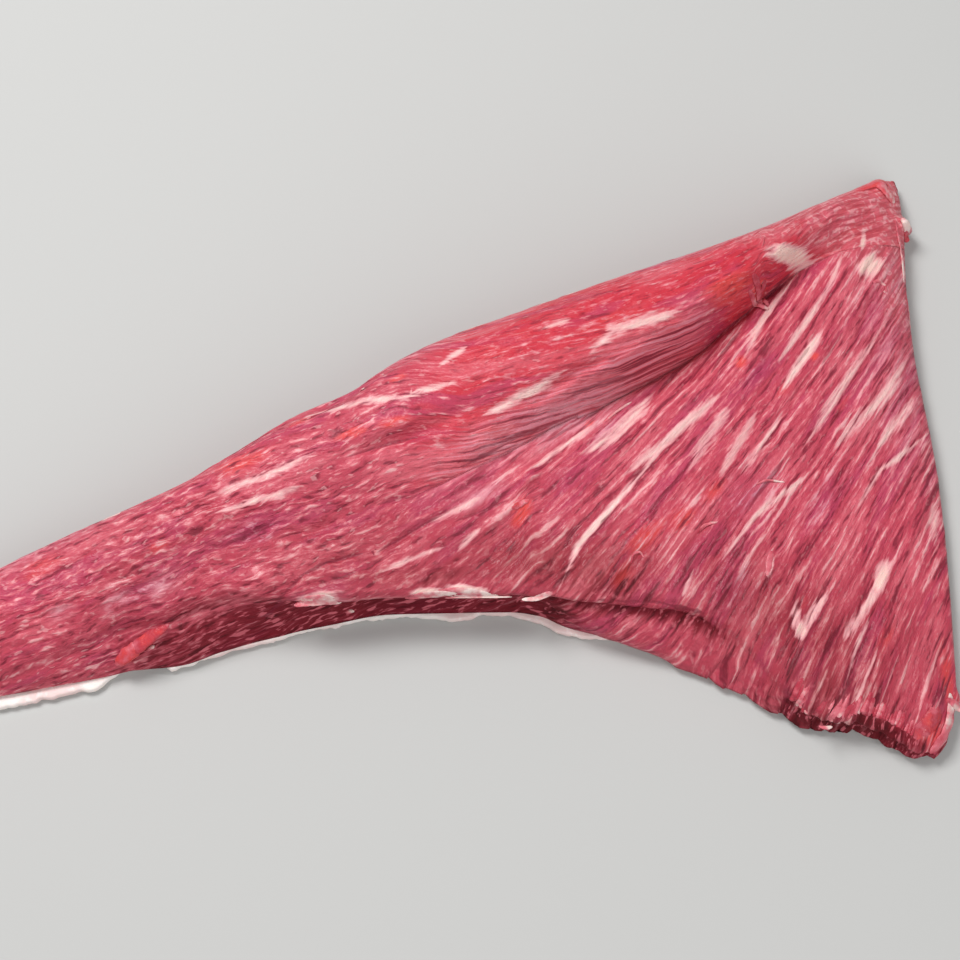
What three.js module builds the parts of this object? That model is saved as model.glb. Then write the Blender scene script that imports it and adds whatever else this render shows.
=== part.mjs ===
// A whole raw beef tri-tip, trimmed on top and lying on its thin fat cap.
//
// The cut is a long triangle: a narrow tail at -X, a wide straight side at +X, and a concave edge
// facing -Y. Its upper face has a thick roll of muscle along the +Y edge, a deep crease beside that
// roll, and a fan of coarse fibres between the crease and the -Y edge. Two pieces are made: the lean
// meat, and the sheet of white fat under it, which shows as a thin rim along the -Y edge.
//
// Units are millimetres, +Z up. The origin is the middle of the footprint, on the supporting plane.

import * as THREE from "three";

// ---- Driving dimensions -------------------------------------------------------------------------

const FAT_THICKNESS = 3;
const SEAM_GAP = 0.3; // between the fat and the lean that lies on it
const LEAN_FOOT = FAT_THICKNESS + SEAM_GAP;

const TAIL_X = -158; // where the tail's round end begins
const TAIL_NOSE = 12.5; // how far the round end reaches past that
const WIDE_X = 161; // the two corners of the wide side

// Outline seen from above, as y for each x: the +Y edge, and the lean's -Y edge.
const FAR_EDGE = [
  [-158, -59.5], [-150, -54], [-132, -43.3], [-105, -29.6], [-71, -13.5], [-56, -4], [-39, 7.5],
  [-19.5, 16.8], [-8, 25.7], [8, 34.5], [33, 44.5], [60, 55.3], [91, 67.3], [115, 78.3],
  [133, 88.3], [148, 96.5], [156, 100.5], [161, 101],
];
const NEAR_EDGE = [
  [-158, -85], [-150, -84], [-131, -80.5], [-112, -77], [-101, -75], [-91, -72.5], [-77, -71],
  [-66, -67], [-47, -62], [-28, -57.5], [-9, -54], [10, -53.5], [30, -53.2], [39, -54.5],
  [49, -58.5], [58, -61], [71, -65.5], [86.5, -72], [96, -76], [105, -81.5], [114, -86],
  [123.5, -90.4], [137.5, -92.5], [146.5, -96], [153, -99.5], [161, -100.5],
];
// The wide side, as x for each y, with a nub near each corner.
const WIDE_EDGE = [
  [-100.5, 161], [-96, 165], [-88.5, 167.5], [-83, 170.5], [-79, 169.5], [-63, 170], [-37, 170.3],
  [-9.5, 169.6], [18.5, 167], [33, 165.5], [55, 164.6], [77.8, 165.4], [82, 168.4], [87, 165.3],
  [93, 165], [101, 163.5],
];

// Thickness by x: at the -Y edge, in the middle, and what the muscle roll adds on top of that.
const EDGE_HEIGHT = [
  [-170, 14], [-131, 18], [-100, 21], [-60, 24], [0, 24.5], [50, 22], [100, 18], [140, 14], [168, 9],
];
const MIDDLE_HEIGHT = [
  [-170, 15], [-131, 21], [-100, 24], [-60, 28], [0, 33], [50, 29], [100, 27], [140, 21], [168, 12],
];
const ROLL_HEIGHT = [
  [-170, 0.5], [-100, 2.5], [-60, 5], [0, 7], [50, 13], [100, 12], [130, 7], [155, 1.5], [170, 0],
];
const ROLL_CREST = [
  [-170, -74], [-129, -58], [-98, -44], [-67, -30], [-36, -14], [-5, 1], [26, 17], [58, 33],
  [90, 49], [125, 71], [150, 88], [170, 98],
];
const ROLL_FAR_SIDE = 20; // how far the roll reaches from its crest towards the +Y edge
const ROLL_SQUARENESS = 4; // how flat its top is, and so how steep its flank, where it is creased

// The crease between the roll and the fan: its line, its depth, and how steep each side is.
const CREASE_LINE = [
  [-170, -80], [-100, -58], [-40, -38], [4.5, -20.7], [17, -14], [32.6, -5.3], [45, 2.6], [58, 9],
  [71, 17], [90.7, 29.8], [101, 39], [111.5, 47.5], [127, 60], [145, 68], [170, 74],
];
const CREASE_DEPTH = [
  [-12, 0], [20, 1.2], [45, 2.6], [70, 4.6], [90, 6], [105, 5.6], [120, 4], [130, 2], [140, 0],
];
const CREASE_FULL_DEPTH = 4;
const CREASE_ROLL_SIDE = 4;
const CREASE_FAN_SIDE = 9;

// The -Y side by x: how far the upper lip stands in from the edge, its height, how deep the wall is
// hollowed under it (a negative hollow is a bulge), and how deep the groove close under the lip is.
const LIP_INSET = [
  [-158, 2], [-131, 3], [-110, 7], [-89, 11], [-64, 11], [-43, 7], [-30, 3], [-18, 1], [-5, 0.5],
  [17, 0.5], [35, 1], [45, 3.5], [57, 6], [70, 9.5], [88, 15], [100, 13], [115, 5], [135, 1],
  [161, 1],
];
const LIP_HEIGHT = [
  [-158, 7], [-131, 9], [-110, 12], [-89, 15], [-64, 18], [-40, 20], [35, 20], [57, 19.5],
  [70, 18.5], [88, 17], [100, 14], [115, 11], [135, 10], [150, 9], [161, 6],
];
const LIP_HOLLOW = [
  [-158, 0], [-131, -1], [-89, -1.5], [-67, -1], [-40, 1.5], [-27, 3], [-5, 4], [17, 4], [35, 3],
  [45, 0], [57, -3], [70, -3.5], [88, -3], [100, -1.5], [115, 0], [135, 1.5], [150, 1], [161, 0],
];
const LIP_GROOVE = [[-158, 0], [-60, 0], [-35, 1], [35, 1.5], [57, 3], [88, 3], [100, 1], [110, 0]];
const SHOULDER_HEIGHT = [[-158, 9], [-100, 13], [0, 16], [60, 16], [120, 11], [161, 6]];
const UNDERCUT = 3; // how far the foot stands in from the widest line on the other sides
const CORNER_REACH = 12; // the undercut grows from 0 over this distance from the pointed +X +Y corner

// How far the top takes to roll over at each side, seen from above.
const NEAR_ROUNDING = [[-158, 18], [-131, 18], [-100, 12], [-50, 6], [-5, 4], [60, 5], [161, 13]];
const FAR_ROUNDING = 16;
const WIDE_ROUNDING = 12;
const TAIL_ROUNDING = 14;

// Short folds in the upper face: middle x, y, length, direction in degrees, depth, half width.
const FOLDS = [
  [-66, -27, 40, 20, 1.6, 2.2],
  [-10, -8, 52, 20, 2.0, 2.4],
  [-30, -33, 30, 24, 1.2, 1.8],
  [8, -1, 46, 24, 1.6, 2.2],
  [-34, 4, 44, 21, 1.5, 2.0],
  [52, 16, 50, 29, 1.8, 2.2],
  [66, -30, 34, 46, 1.0, 2.0],
  [118, 8, 40, 53, 1.0, 2.2],
];

// Torn flaps and beads of fat that stand on the face: middle x, y, length, direction, height, half width.
const FLAPS = [
  [-87, -64, 15, 38, 2.6, 2.8],
  [-20, 20, 6, 30, 1.6, 1.8],
  [-79, -23, 5, 35, 1.3, 1.5],
  [35, -16, 12, 62, 2.2, 2.6],
  [111, 48, 9, 25, 2.4, 2.2],
  [157, 96, 9, 25, 2.5, 3.2],
  [165, 82, 5, 70, 2.0, 2.4],
  [162, -86, 20, 64, 3.0, 4.5],
];

// Fibre direction, in degrees from +X, at places on the face: on the roll, and on the fan.
const TAIL_GRAIN = [[-160, -72, 21], [-120, -60, 22], [-75, -45, 24], [-75, -15, 22], [-35, -50, 21]];
const ROLL_GRAIN = [
  ...TAIL_GRAIN, [-20, -5, 20], [10, 12, 21], [45, 32, 23], [75, 45, 26], [105, 62, 28], [140, 85, 26],
];
const FAN_GRAIN = [
  ...TAIL_GRAIN, [-15, -35, 28], [15, -28, 38], [30, -45, 46], [40, -10, 35], [58, -2, 41],
  [55, -35, 52], [75, 12, 46], [85, -50, 58], [95, -15, 50], [100, 32, 52], [110, -70, 64],
  [118, 48, 59], [125, 5, 53], [130, -35, 59], [140, 70, 58], [145, -80, 67], [155, 20, 58],
  [160, -35, 62],
];
const GRAIN_REACH = 22; // how far one of those directions reaches
const GRAIN_START = 70; // the line x + y = this, which every fibre crosses, is where they are counted
const GRAIN_STEP = 2;

// Bundles of fibres stand up as ridges: their length, their width and their height.
const BUNDLE_LENGTH = 46;
const BUNDLE_WIDTH = 9;
const BUNDLE_HEIGHT = 1.5;
const SWELL_SIZE = 34; // slow unevenness of the whole face
const SWELL_HEIGHT = 1.2;

// How finely each piece is divided.
const LEAN_ALONG = 100;
const LEAN_ACROSS = 40;
const LEAN_WALL = [0.86, 0.66, 0.4, 0.18, 0]; // the height of each ring, from the foot to the rim
const FAT_ALONG = 90;
const FAT_ACROSS = 4;

// ---- Shape helpers ------------------------------------------------------------------------------

const clamp = (value, low, high) => Math.min(high, Math.max(low, value));
const mix = (from, to, share) => from + (to - from) * share;
const smooth = (share) => share * share * (3 - 2 * share);
const radians = THREE.MathUtils.degToRad;

// A smooth curve through [place, value] pairs. Its slope at a pair is the mean of its neighbours',
// and 0 at a high or low point, so that it never overshoots.
function through(pairs) {
  const last = pairs.length - 1;
  const rise = (i) => (pairs[i + 1][1] - pairs[i][1]) / (pairs[i + 1][0] - pairs[i][0]);
  const slopes = pairs.map((_, i) => {
    if (i === 0) return rise(0);
    if (i === last) return rise(last - 1);
    const [before, after] = [rise(i - 1), rise(i)];
    return before * after <= 0 ? 0 : (2 * before * after) / (before + after);
  });
  return (place) => {
    let i = 0;
    while (i < last - 1 && place > pairs[i + 1][0]) i += 1;
    const width = pairs[i + 1][0] - pairs[i][0];
    const t = clamp((place - pairs[i][0]) / width, 0, 1);
    const [t2, t3] = [t * t, t * t * t];
    return (
      (2 * t3 - 3 * t2 + 1) * pairs[i][1] +
      (t3 - 2 * t2 + t) * width * slopes[i] +
      (3 * t2 - 2 * t3) * pairs[i + 1][1] +
      (t3 - t2) * width * slopes[i + 1]
    );
  };
}

const farEdge = through(FAR_EDGE);
const nearEdge = through(NEAR_EDGE);
const wideEdge = through(WIDE_EDGE);
const edgeHeight = through(EDGE_HEIGHT);
const middleHeight = through(MIDDLE_HEIGHT);
const rollHeight = through(ROLL_HEIGHT);
const rollCrest = through(ROLL_CREST);
const creaseLine = through(CREASE_LINE);
const creaseDepth = through(CREASE_DEPTH);
const lipInset = through(LIP_INSET);
const lipHeight = through(LIP_HEIGHT);
const lipHollow = through(LIP_HOLLOW);
const lipGroove = through(LIP_GROOVE);
const shoulderHeight = through(SHOULDER_HEIGHT);
const nearRounding = through(NEAR_ROUNDING);

// Rises from 0 at the edge to 1 at the given reach, as a quarter circle does.
const quarterRound = (distance, reach) => Math.sqrt(1 - (1 - clamp(distance / reach, 0, 1)) ** 2);

// A random number from 0 to 1 for each corner of a unit grid, and the smooth field between them.
function cornerValue(column, row, seed) {
  const value = Math.sin(column * 127.1 + row * 311.7 + seed * 74.7) * 43758.5453;
  return value - Math.floor(value);
}
function unevenness(x, y, seed) {
  const [column, row] = [Math.floor(x), Math.floor(y)];
  const [sx, sy] = [smooth(x - column), smooth(y - row)];
  const low = mix(cornerValue(column, row, seed), cornerValue(column + 1, row, seed), sx);
  const high = mix(cornerValue(column, row + 1, seed), cornerValue(column + 1, row + 1, seed), sx);
  return 2 * mix(low, high, sy) - 1;
}

// ---- Fibres -------------------------------------------------------------------------------------

// The direction at a place is the mean of the given directions, the near ones counting most.
function grainDirection(x, y, guides) {
  let [sum, weight] = [0, 0];
  for (const [gx, gy, degrees] of guides) {
    const w = Math.exp(-((x - gx) ** 2 + (y - gy) ** 2) / (2 * GRAIN_REACH ** 2)) + 1e-9;
    sum += w * degrees;
    weight += w;
  }
  return radians(sum / weight);
}

// Follows the fibre from a place to the counting line. Gives how far it went along the fibre, and
// where on the line the fibre crosses, which is the same for every place on one fibre.
function followFibre(x, y, guides) {
  let [along, px, py] = [0, x, y];
  for (let gap = px + py - GRAIN_START; Math.abs(gap) > 1e-3; gap = px + py - GRAIN_START) {
    const angle = grainDirection(px, py, guides);
    const toLine = gap / (Math.cos(angle) + Math.sin(angle));
    const step = clamp(toLine, -GRAIN_STEP, GRAIN_STEP);
    px -= step * Math.cos(angle);
    py -= step * Math.sin(angle);
    along += step;
  }
  return { along, across: (py - px) / Math.SQRT2 };
}

const CREASE_END_X = CREASE_DEPTH[0][0];
const creaseEnd = [CREASE_END_X, creaseLine(CREASE_END_X)];
const FAN_SHIFT =
  followFibre(...creaseEnd, ROLL_GRAIN).across - followFibre(...creaseEnd, FAN_GRAIN).across;

// The fibre that passes a place. The roll's and the fan's fibres meet at the crease.
function fibreAt(x, y) {
  if (y > creaseLine(x)) return followFibre(x, y, ROLL_GRAIN);
  const { along, across } = followFibre(x, y, FAN_GRAIN);
  return { along, across: across + FAN_SHIFT };
}

// ---- The upper face -----------------------------------------------------------------------------

// A mound along a short line, 1 on the line and 0 past its ends and well beside it.
function mound(x, y, [mx, my, length, degrees, , halfWidth]) {
  const [c, s] = [Math.cos(radians(degrees)), Math.sin(radians(degrees))];
  const along = ((x - mx) * c + (y - my) * s) / (length / 2);
  const across = (-(x - mx) * s + (y - my) * c) / halfWidth;
  return Math.abs(along) >= 1 ? 0 : (1 - along * along) ** 1.5 * Math.exp(-across * across);
}

function crease(x, y) {
  const slope = (creaseLine(x + 1) - creaseLine(x - 1)) / 2;
  const aside = (y - creaseLine(x)) / Math.hypot(1, slope);
  const reach = aside > 0 ? CREASE_ROLL_SIDE : CREASE_FAN_SIDE;
  return creaseDepth(x) * Math.exp(-((aside / reach) ** 2));
}

// The roll is a round mound. Where the crease runs beside it, it is flat on top and ends at the crease.
function roll(x, y) {
  const crest = rollCrest(x);
  if (y > crest) return rollHeight(x) * Math.exp(-(((y - crest) / ROLL_FAR_SIDE) ** 2));
  const share = clamp((crest - y) / (crest - creaseLine(x)), 0, 1);
  const creased = clamp(creaseDepth(x) / CREASE_FULL_DEPTH, 0, 1);
  return rollHeight(x) * (1 - mix(smooth(share), share ** ROLL_SQUARENESS, creased));
}

// The face's height away from its edges.
function faceHeight(x, y) {
  const [near, crest] = [nearEdge(x), rollCrest(x)];
  const share = smooth(clamp((y - near) / (crest - near), 0, 1));
  const slab = mix(edgeHeight(x), middleHeight(x), share);
  const folds = FOLDS.reduce((sum, fold) => sum + fold[4] * mound(x, y, fold), 0);
  const flaps = FLAPS.reduce((sum, flap) => sum + flap[4] * mound(x, y, flap), 0);
  return slab + roll(x, y) - crease(x, y) - folds + flaps;
}

function faceRelief(x, y) {
  const { along, across } = fibreAt(x, y);
  const bundles = unevenness(along / BUNDLE_LENGTH, across / BUNDLE_WIDTH, 1);
  const swell = unevenness(x / SWELL_SIZE, y / SWELL_SIZE, 2);
  return (BUNDLE_HEIGHT / 2) * bundles + (SWELL_HEIGHT / 2) * swell;
}

// A place on the upper face: a runs from the tail to the wide side, b from the -Y to the +Y edge.
// The face starts at the lip's height and rolls up to its full height over each side's rounding.
function facePoint(a, b) {
  const station = mix(TAIL_X, WIDE_X, a);
  const near = nearEdge(station) + lipInset(station);
  const far = farEdge(station);
  const y = mix(near, far, b);
  const nose = TAIL_X - TAIL_NOSE * Math.sqrt(Math.max(0, 1 - (2 * b - 1) ** 2));
  const wide = wideEdge(mix(WIDE_EDGE[0][0], WIDE_EDGE.at(-1)[0], b));
  const x = mix(nose, wide, a);
  const rise =
    quarterRound(b * (far - near), nearRounding(station)) *
    quarterRound((1 - b) * (far - near), FAR_ROUNDING) *
    quarterRound(a * (wide - nose), TAIL_ROUNDING) *
    quarterRound((1 - a) * (wide - nose), WIDE_ROUNDING);
  const start = mix(lipHeight(station), shoulderHeight(station), b);
  return [x, y, start + (faceHeight(x, y) + faceRelief(x, y) - start) * rise];
}

// Steps that are closer together near both ends, for the rounded edges.
function crowded(count) {
  const crowding = 0.55;
  return Array.from({ length: count + 1 }, (_, i) => {
    const t = i / count;
    return t - (crowding * Math.sin(2 * Math.PI * t)) / (2 * Math.PI);
  });
}

// ---- Closed pieces ------------------------------------------------------------------------------

// Index of each point round the rim of a grid, counterclockwise seen from above.
function rimOf(columns, rows) {
  const rim = [];
  for (let i = 0; i < columns; i += 1) rim.push([i, 0]);
  for (let j = 0; j < rows; j += 1) rim.push([columns, j]);
  for (let i = columns; i > 0; i -= 1) rim.push([i, rows]);
  for (let j = rows; j > 0; j -= 1) rim.push([0, j]);
  return rim;
}

// A closed solid: an upper grid, rings that carry its rim down to the foot, and a flat underside.
function closedSolid(columns, rows, grid, rings) {
  const vertices = grid.flat(2);
  const faces = [];
  const at = (i, j) => i * (rows + 1) + j;
  for (let i = 0; i < columns; i += 1) {
    for (let j = 0; j < rows; j += 1) {
      faces.push(at(i, j), at(i + 1, j), at(i + 1, j + 1), at(i, j), at(i + 1, j + 1), at(i, j + 1));
    }
  }
  const rim = rimOf(columns, rows);
  const around = rim.length;
  let upper = rim.map(([i, j]) => at(i, j));
  for (const ring of rings) {
    const first = vertices.length / 3;
    vertices.push(...ring.flat());
    const lower = ring.map((_, k) => first + k);
    for (let k = 0; k < around; k += 1) {
      const next = (k + 1) % around;
      faces.push(upper[k], lower[k], lower[next], upper[k], lower[next], upper[next]);
    }
    upper = lower;
  }
  // The underside is the flat area inside the last ring, and its triangles are turned to face down.
  const foot = rings.at(-1).map(([x, y]) => new THREE.Vector2(x, y));
  for (const [a, b, c] of THREE.ShapeUtils.triangulateShape(foot, [])) {
    faces.push(upper[a], upper[c], upper[b]);
  }
  const geometry = new THREE.BufferGeometry();
  geometry.setAttribute("position", new THREE.Float32BufferAttribute(vertices, 3));
  geometry.setIndex(faces);
  geometry.computeVertexNormals();
  return geometry;
}

// The outward direction, seen from above, at each point of a closed loop.
function outwards(loop) {
  return loop.map((_, k) => {
    const [ax, ay] = loop.at(k - 1);
    const [bx, by] = loop[(k + 1) % loop.length];
    const length = Math.hypot(bx - ax, by - ay);
    return [(by - ay) / length, -(bx - ax) / length];
  });
}

// The lean meat. Its wall hangs from the rim of the face down to the foot.
function leanGeometry() {
  const as = crowded(LEAN_ALONG);
  const bs = crowded(LEAN_ACROSS);
  const grid = as.map((a) => bs.map((b) => facePoint(a, b)));
  const rim = rimOf(LEAN_ALONG, LEAN_ACROSS);
  const loop = rim.map(([i, j]) => grid[i][j]);
  const normals = outwards(loop);
  const [cornerX, cornerY] = grid.at(-1).at(-1);
  const rings = LEAN_WALL.map((t, ring) =>
    loop.map(([x, y, z], k) => {
      const [i, j] = rim[k];
      const station = mix(TAIL_X, WIDE_X, as[i]);
      const onNearSide = 1 - smooth(clamp(bs[j] * 8, 0, 1));
      const inset = lipInset(station) * onNearSide;
      const hollow = mix(-0.5, lipHollow(station), onNearSide);
      const groove = ring === 0 ? lipGroove(station) * onNearSide : 0;
      const fromCorner = Math.hypot(x - cornerX, y - cornerY) / CORNER_REACH;
      const foot = mix(UNDERCUT * smooth(clamp(fromCorner, 0, 1)), 0, onNearSide);
      const out = inset - mix(foot, inset, t) - hollow * Math.sin(Math.PI * t) - groove;
      return [x + normals[k][0] * out, y + normals[k][1] * out, mix(LEAN_FOOT, z, t)];
    }),
  );
  return closedSolid(LEAN_ALONG, LEAN_ACROSS, grid, rings);
}

// ---- Fat cap ------------------------------------------------------------------------------------

// How far the fat reaches past the lean's outline: along the -Y edge by x, and on the other sides.
const FAT_NEAR_REACH = [
  [-158, 1.5], [-131, 4.3], [-115, 3.6], [-102, 3.3], [-96, 0.5], [-86, -1.5], [-80, -1.5],
  [-76, 1.2], [-66, 1.4], [-47, 0.9], [-28, 0.7], [-9, 0.9], [5, 0.9], [13, 2.1], [18, 2.1],
  [23, 0.6], [40, 1], [49, 1.7], [57, 0.7], [66, -1.5], [80, -3], [161, -4],
];
const FAT_WIDE_REACH = -2.5;
const FAT_FAR_REACH = -2;
const FAT_NOSE_REACH = -1;
const FAT_EDGE = 0.8; // radius of the rim's rounded edges
const fatNearReach = through(FAT_NEAR_REACH);

function fatPoint(a, b) {
  const station = mix(TAIL_X, WIDE_X, a);
  const y = mix(nearEdge(station) - fatNearReach(station), farEdge(station) + FAT_FAR_REACH, b);
  const nose = TAIL_X - (TAIL_NOSE + FAT_NOSE_REACH) * Math.sqrt(Math.max(0, 1 - (2 * b - 1) ** 2));
  const wide = wideEdge(mix(WIDE_EDGE[0][0], WIDE_EDGE.at(-1)[0], b)) + FAT_WIDE_REACH;
  return [mix(nose, wide, a), y];
}

// The fat is a flat sheet with a rounded edge, and rests on the flat underside.
function fatGeometry() {
  const as = crowded(FAT_ALONG);
  const bs = crowded(FAT_ACROSS);
  const outline = as.map((a) => bs.map((b) => fatPoint(a, b)));
  const rim = rimOf(FAT_ALONG, FAT_ACROSS);
  const normals = outwards(rim.map(([i, j]) => outline[i][j]));
  const shrunk = new Map(
    rim.map(([i, j], k) => {
      const [x, y] = outline[i][j];
      return [`${i},${j}`, [x - normals[k][0] * FAT_EDGE, y - normals[k][1] * FAT_EDGE]];
    }),
  );
  const grid = outline.map((column, i) =>
    column.map((place, j) => [...(shrunk.get(`${i},${j}`) ?? place), FAT_THICKNESS]),
  );
  const level = (inset, z) =>
    rim.map(([i, j], k) => {
      const [x, y] = outline[i][j];
      return [x - normals[k][0] * inset, y - normals[k][1] * inset, z];
    });
  const rings = [
    level(0, FAT_THICKNESS - FAT_EDGE),
    level(0, FAT_EDGE),
    level(FAT_EDGE, 0),
  ];
  return closedSolid(FAT_ALONG, FAT_ACROSS, grid, rings);
}

// ---- The steak ----------------------------------------------------------------------------------

function piece(name, geometry, color, roughness) {
  const material = new THREE.MeshStandardMaterial({ color, roughness, metalness: 0 });
  const mesh = new THREE.Mesh(geometry, material);
  mesh.name = name;
  return mesh;
}

const steak = new THREE.Group();
steak.add(piece("lean_meat", leanGeometry(), 0xb8485a, 0.38));
steak.add(piece("fat_cap", fatGeometry(), 0xe6d3cb, 0.45));

export default steak;
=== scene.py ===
import bpy
import numpy as np
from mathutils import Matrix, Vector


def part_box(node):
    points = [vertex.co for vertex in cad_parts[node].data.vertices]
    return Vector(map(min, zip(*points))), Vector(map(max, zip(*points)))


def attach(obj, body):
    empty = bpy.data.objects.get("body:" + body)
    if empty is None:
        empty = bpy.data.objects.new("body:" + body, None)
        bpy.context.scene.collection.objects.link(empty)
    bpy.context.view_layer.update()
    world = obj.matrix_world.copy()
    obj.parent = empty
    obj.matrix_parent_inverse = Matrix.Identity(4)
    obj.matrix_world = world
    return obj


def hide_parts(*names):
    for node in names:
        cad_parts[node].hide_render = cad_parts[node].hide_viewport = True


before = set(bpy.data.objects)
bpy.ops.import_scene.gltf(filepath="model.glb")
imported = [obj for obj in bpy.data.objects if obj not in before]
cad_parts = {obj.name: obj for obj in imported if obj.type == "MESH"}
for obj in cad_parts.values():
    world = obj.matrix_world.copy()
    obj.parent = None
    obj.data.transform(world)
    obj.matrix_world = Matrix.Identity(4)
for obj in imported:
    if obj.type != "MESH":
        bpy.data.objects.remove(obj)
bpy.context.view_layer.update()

# ---- Lean meat -----------------------------------------------------------------------------------
# The lean is one long-fibred beef muscle, trimmed of its cover on top: a thick roll along the far edge,
# a crease beside it, and a fan of coarse marbled strands that ends at a lip over the near side.
# It was cut free with a knife on every side but the lower one, where it grew on the fat cap.

# All sizes are in millimetres. Those from here to SWELL_HEIGHT are the ones the solid was made with.
MM = 0.001
FAT_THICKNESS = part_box("fat_cap")[1].z / MM
SEAM_GAP = 0.05

TAIL_X = -158
TAIL_NOSE = 12.5
WIDE_X = 161

FAR_EDGE = [
    (-158, -59.5), (-150, -54), (-132, -43.3), (-105, -29.6), (-71, -13.5), (-56, -4), (-39, 7.5),
    (-19.5, 16.8), (-8, 25.7), (8, 34.5), (33, 44.5), (60, 55.3), (91, 67.3), (115, 78.3),
    (133, 88.3), (148, 96.5), (156, 100.5), (161, 101),
]
NEAR_EDGE = [
    (-158, -85), (-150, -84), (-131, -80.5), (-112, -77), (-101, -75), (-91, -72.5), (-77, -71),
    (-66, -67), (-47, -62), (-28, -57.5), (-9, -54), (10, -53.5), (30, -53.2), (39, -54.5),
    (49, -58.5), (58, -61), (71, -65.5), (86.5, -72), (96, -76), (105, -81.5), (114, -86),
    (123.5, -90.4), (137.5, -92.5), (146.5, -96), (153, -99.5), (161, -100.5),
]
WIDE_EDGE = [
    (-100.5, 161), (-96, 165), (-88.5, 167.5), (-83, 170.5), (-79, 169.5), (-63, 170), (-37, 170.3),
    (-9.5, 169.6), (18.5, 167), (33, 165.5), (55, 164.6), (77.8, 165.4), (82, 168.4), (87, 165.3),
    (93, 165), (101, 163.5),
]
EDGE_HEIGHT = [
    (-170, 14), (-131, 18), (-100, 21), (-60, 24), (0, 24.5), (50, 22), (100, 18), (140, 14), (168, 9),
]
MIDDLE_HEIGHT = [
    (-170, 15), (-131, 21), (-100, 24), (-60, 28), (0, 33), (50, 29), (100, 27), (140, 21), (168, 12),
]
ROLL_HEIGHT = [
    (-170, 0.5), (-100, 2.5), (-60, 5), (0, 7), (50, 13), (100, 12), (130, 7), (155, 1.5), (170, 0),
]
ROLL_CREST = [
    (-170, -74), (-129, -58), (-98, -44), (-67, -30), (-36, -14), (-5, 1), (26, 17), (58, 33),
    (90, 49), (125, 71), (150, 88), (170, 98),
]
ROLL_FAR_SIDE = 20
ROLL_SQUARENESS = 4
CREASE_LINE = [
    (-170, -80), (-100, -58), (-40, -38), (4.5, -20.7), (17, -14), (32.6, -5.3), (45, 2.6), (58, 9),
    (71, 17), (90.7, 29.8), (101, 39), (111.5, 47.5), (127, 60), (145, 68), (170, 74),
]
CREASE_DEPTH = [
    (-12, 0), (20, 1.2), (45, 2.6), (70, 4.6), (90, 6), (105, 5.6), (120, 4), (130, 2), (140, 0),
]
CREASE_FULL_DEPTH = 4
CREASE_ROLL_SIDE = 4
CREASE_FAN_SIDE = 9
LIP_INSET = [
    (-158, 2), (-131, 3), (-110, 7), (-89, 11), (-64, 11), (-43, 7), (-30, 3), (-18, 1), (-5, 0.5),
    (17, 0.5), (35, 1), (45, 3.5), (57, 6), (70, 9.5), (88, 15), (100, 13), (115, 5), (135, 1),
    (161, 1),
]
LIP_HEIGHT = [
    (-158, 7), (-131, 9), (-110, 12), (-89, 15), (-64, 18), (-40, 20), (35, 20), (57, 19.5),
    (70, 18.5), (88, 17), (100, 14), (115, 11), (135, 10), (150, 9), (161, 6),
]
LIP_HOLLOW = [
    (-158, 0), (-131, -1), (-89, -1.5), (-67, -1), (-40, 1.5), (-27, 3), (-5, 4), (17, 4), (35, 3),
    (45, 0), (57, -3), (70, -3.5), (88, -3), (100, -1.5), (115, 0), (135, 1.5), (150, 1), (161, 0),
]
LIP_GROOVE = [(-158, 0), (-60, 0), (-35, 1), (35, 1.5), (57, 3), (88, 3), (100, 1), (110, 0)]
SHOULDER_HEIGHT = [(-158, 9), (-100, 13), (0, 16), (60, 16), (120, 11), (161, 6)]
UNDERCUT = 3
CORNER_REACH = 12
NEAR_ROUNDING = [(-158, 18), (-131, 18), (-100, 12), (-50, 6), (-5, 4), (60, 5), (161, 13)]
FAR_ROUNDING = 16
WIDE_ROUNDING = 12
TAIL_ROUNDING = 14
FOLDS = [
    (-66, -27, 40, 20, 1.6, 2.2),
    (-10, -8, 52, 20, 2.0, 2.4),
    (-30, -33, 30, 24, 1.2, 1.8),
    (8, -1, 46, 24, 1.6, 2.2),
    (-34, 4, 44, 21, 1.5, 2.0),
    (52, 16, 50, 29, 1.8, 2.2),
    (66, -30, 34, 46, 1.0, 2.0),
    (118, 8, 40, 53, 1.0, 2.2),
]
FLAPS = [
    (-87, -64, 15, 38, 2.6, 2.8),
    (-20, 20, 6, 30, 1.6, 1.8),
    (-79, -23, 5, 35, 1.3, 1.5),
    (35, -16, 12, 62, 2.2, 2.6),
    (111, 48, 9, 25, 2.4, 2.2),
    (157, 96, 9, 25, 2.5, 3.2),
    (165, 82, 5, 70, 2.0, 2.4),
    (162, -86, 20, 64, 3.0, 4.5),
]
TAIL_GRAIN = [(-160, -72, 21), (-120, -60, 22), (-75, -45, 24), (-75, -15, 22), (-35, -50, 21)]
ROLL_GRAIN = TAIL_GRAIN + [
    (-20, -5, 20), (10, 12, 21), (45, 32, 23), (75, 45, 26), (105, 62, 28), (140, 85, 26),
]
FAN_GRAIN = TAIL_GRAIN + [
    (-15, -35, 28), (15, -28, 38), (30, -45, 46), (40, -10, 35), (58, -2, 41),
    (55, -35, 52), (75, 12, 46), (85, -50, 58), (95, -15, 50), (100, 32, 52), (110, -70, 64),
    (118, 48, 59), (125, 5, 53), (130, -35, 59), (140, 70, 58), (145, -80, 67), (155, 20, 58),
    (160, -35, 62),
]
GRAIN_REACH = 22
GRAIN_START = 70
GRAIN_STEP = 2
BUNDLE_LENGTH = 46
BUNDLE_WIDTH = 9
BUNDLE_HEIGHT = 1.5
SWELL_SIZE = 34
SWELL_HEIGHT = 1.2

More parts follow.
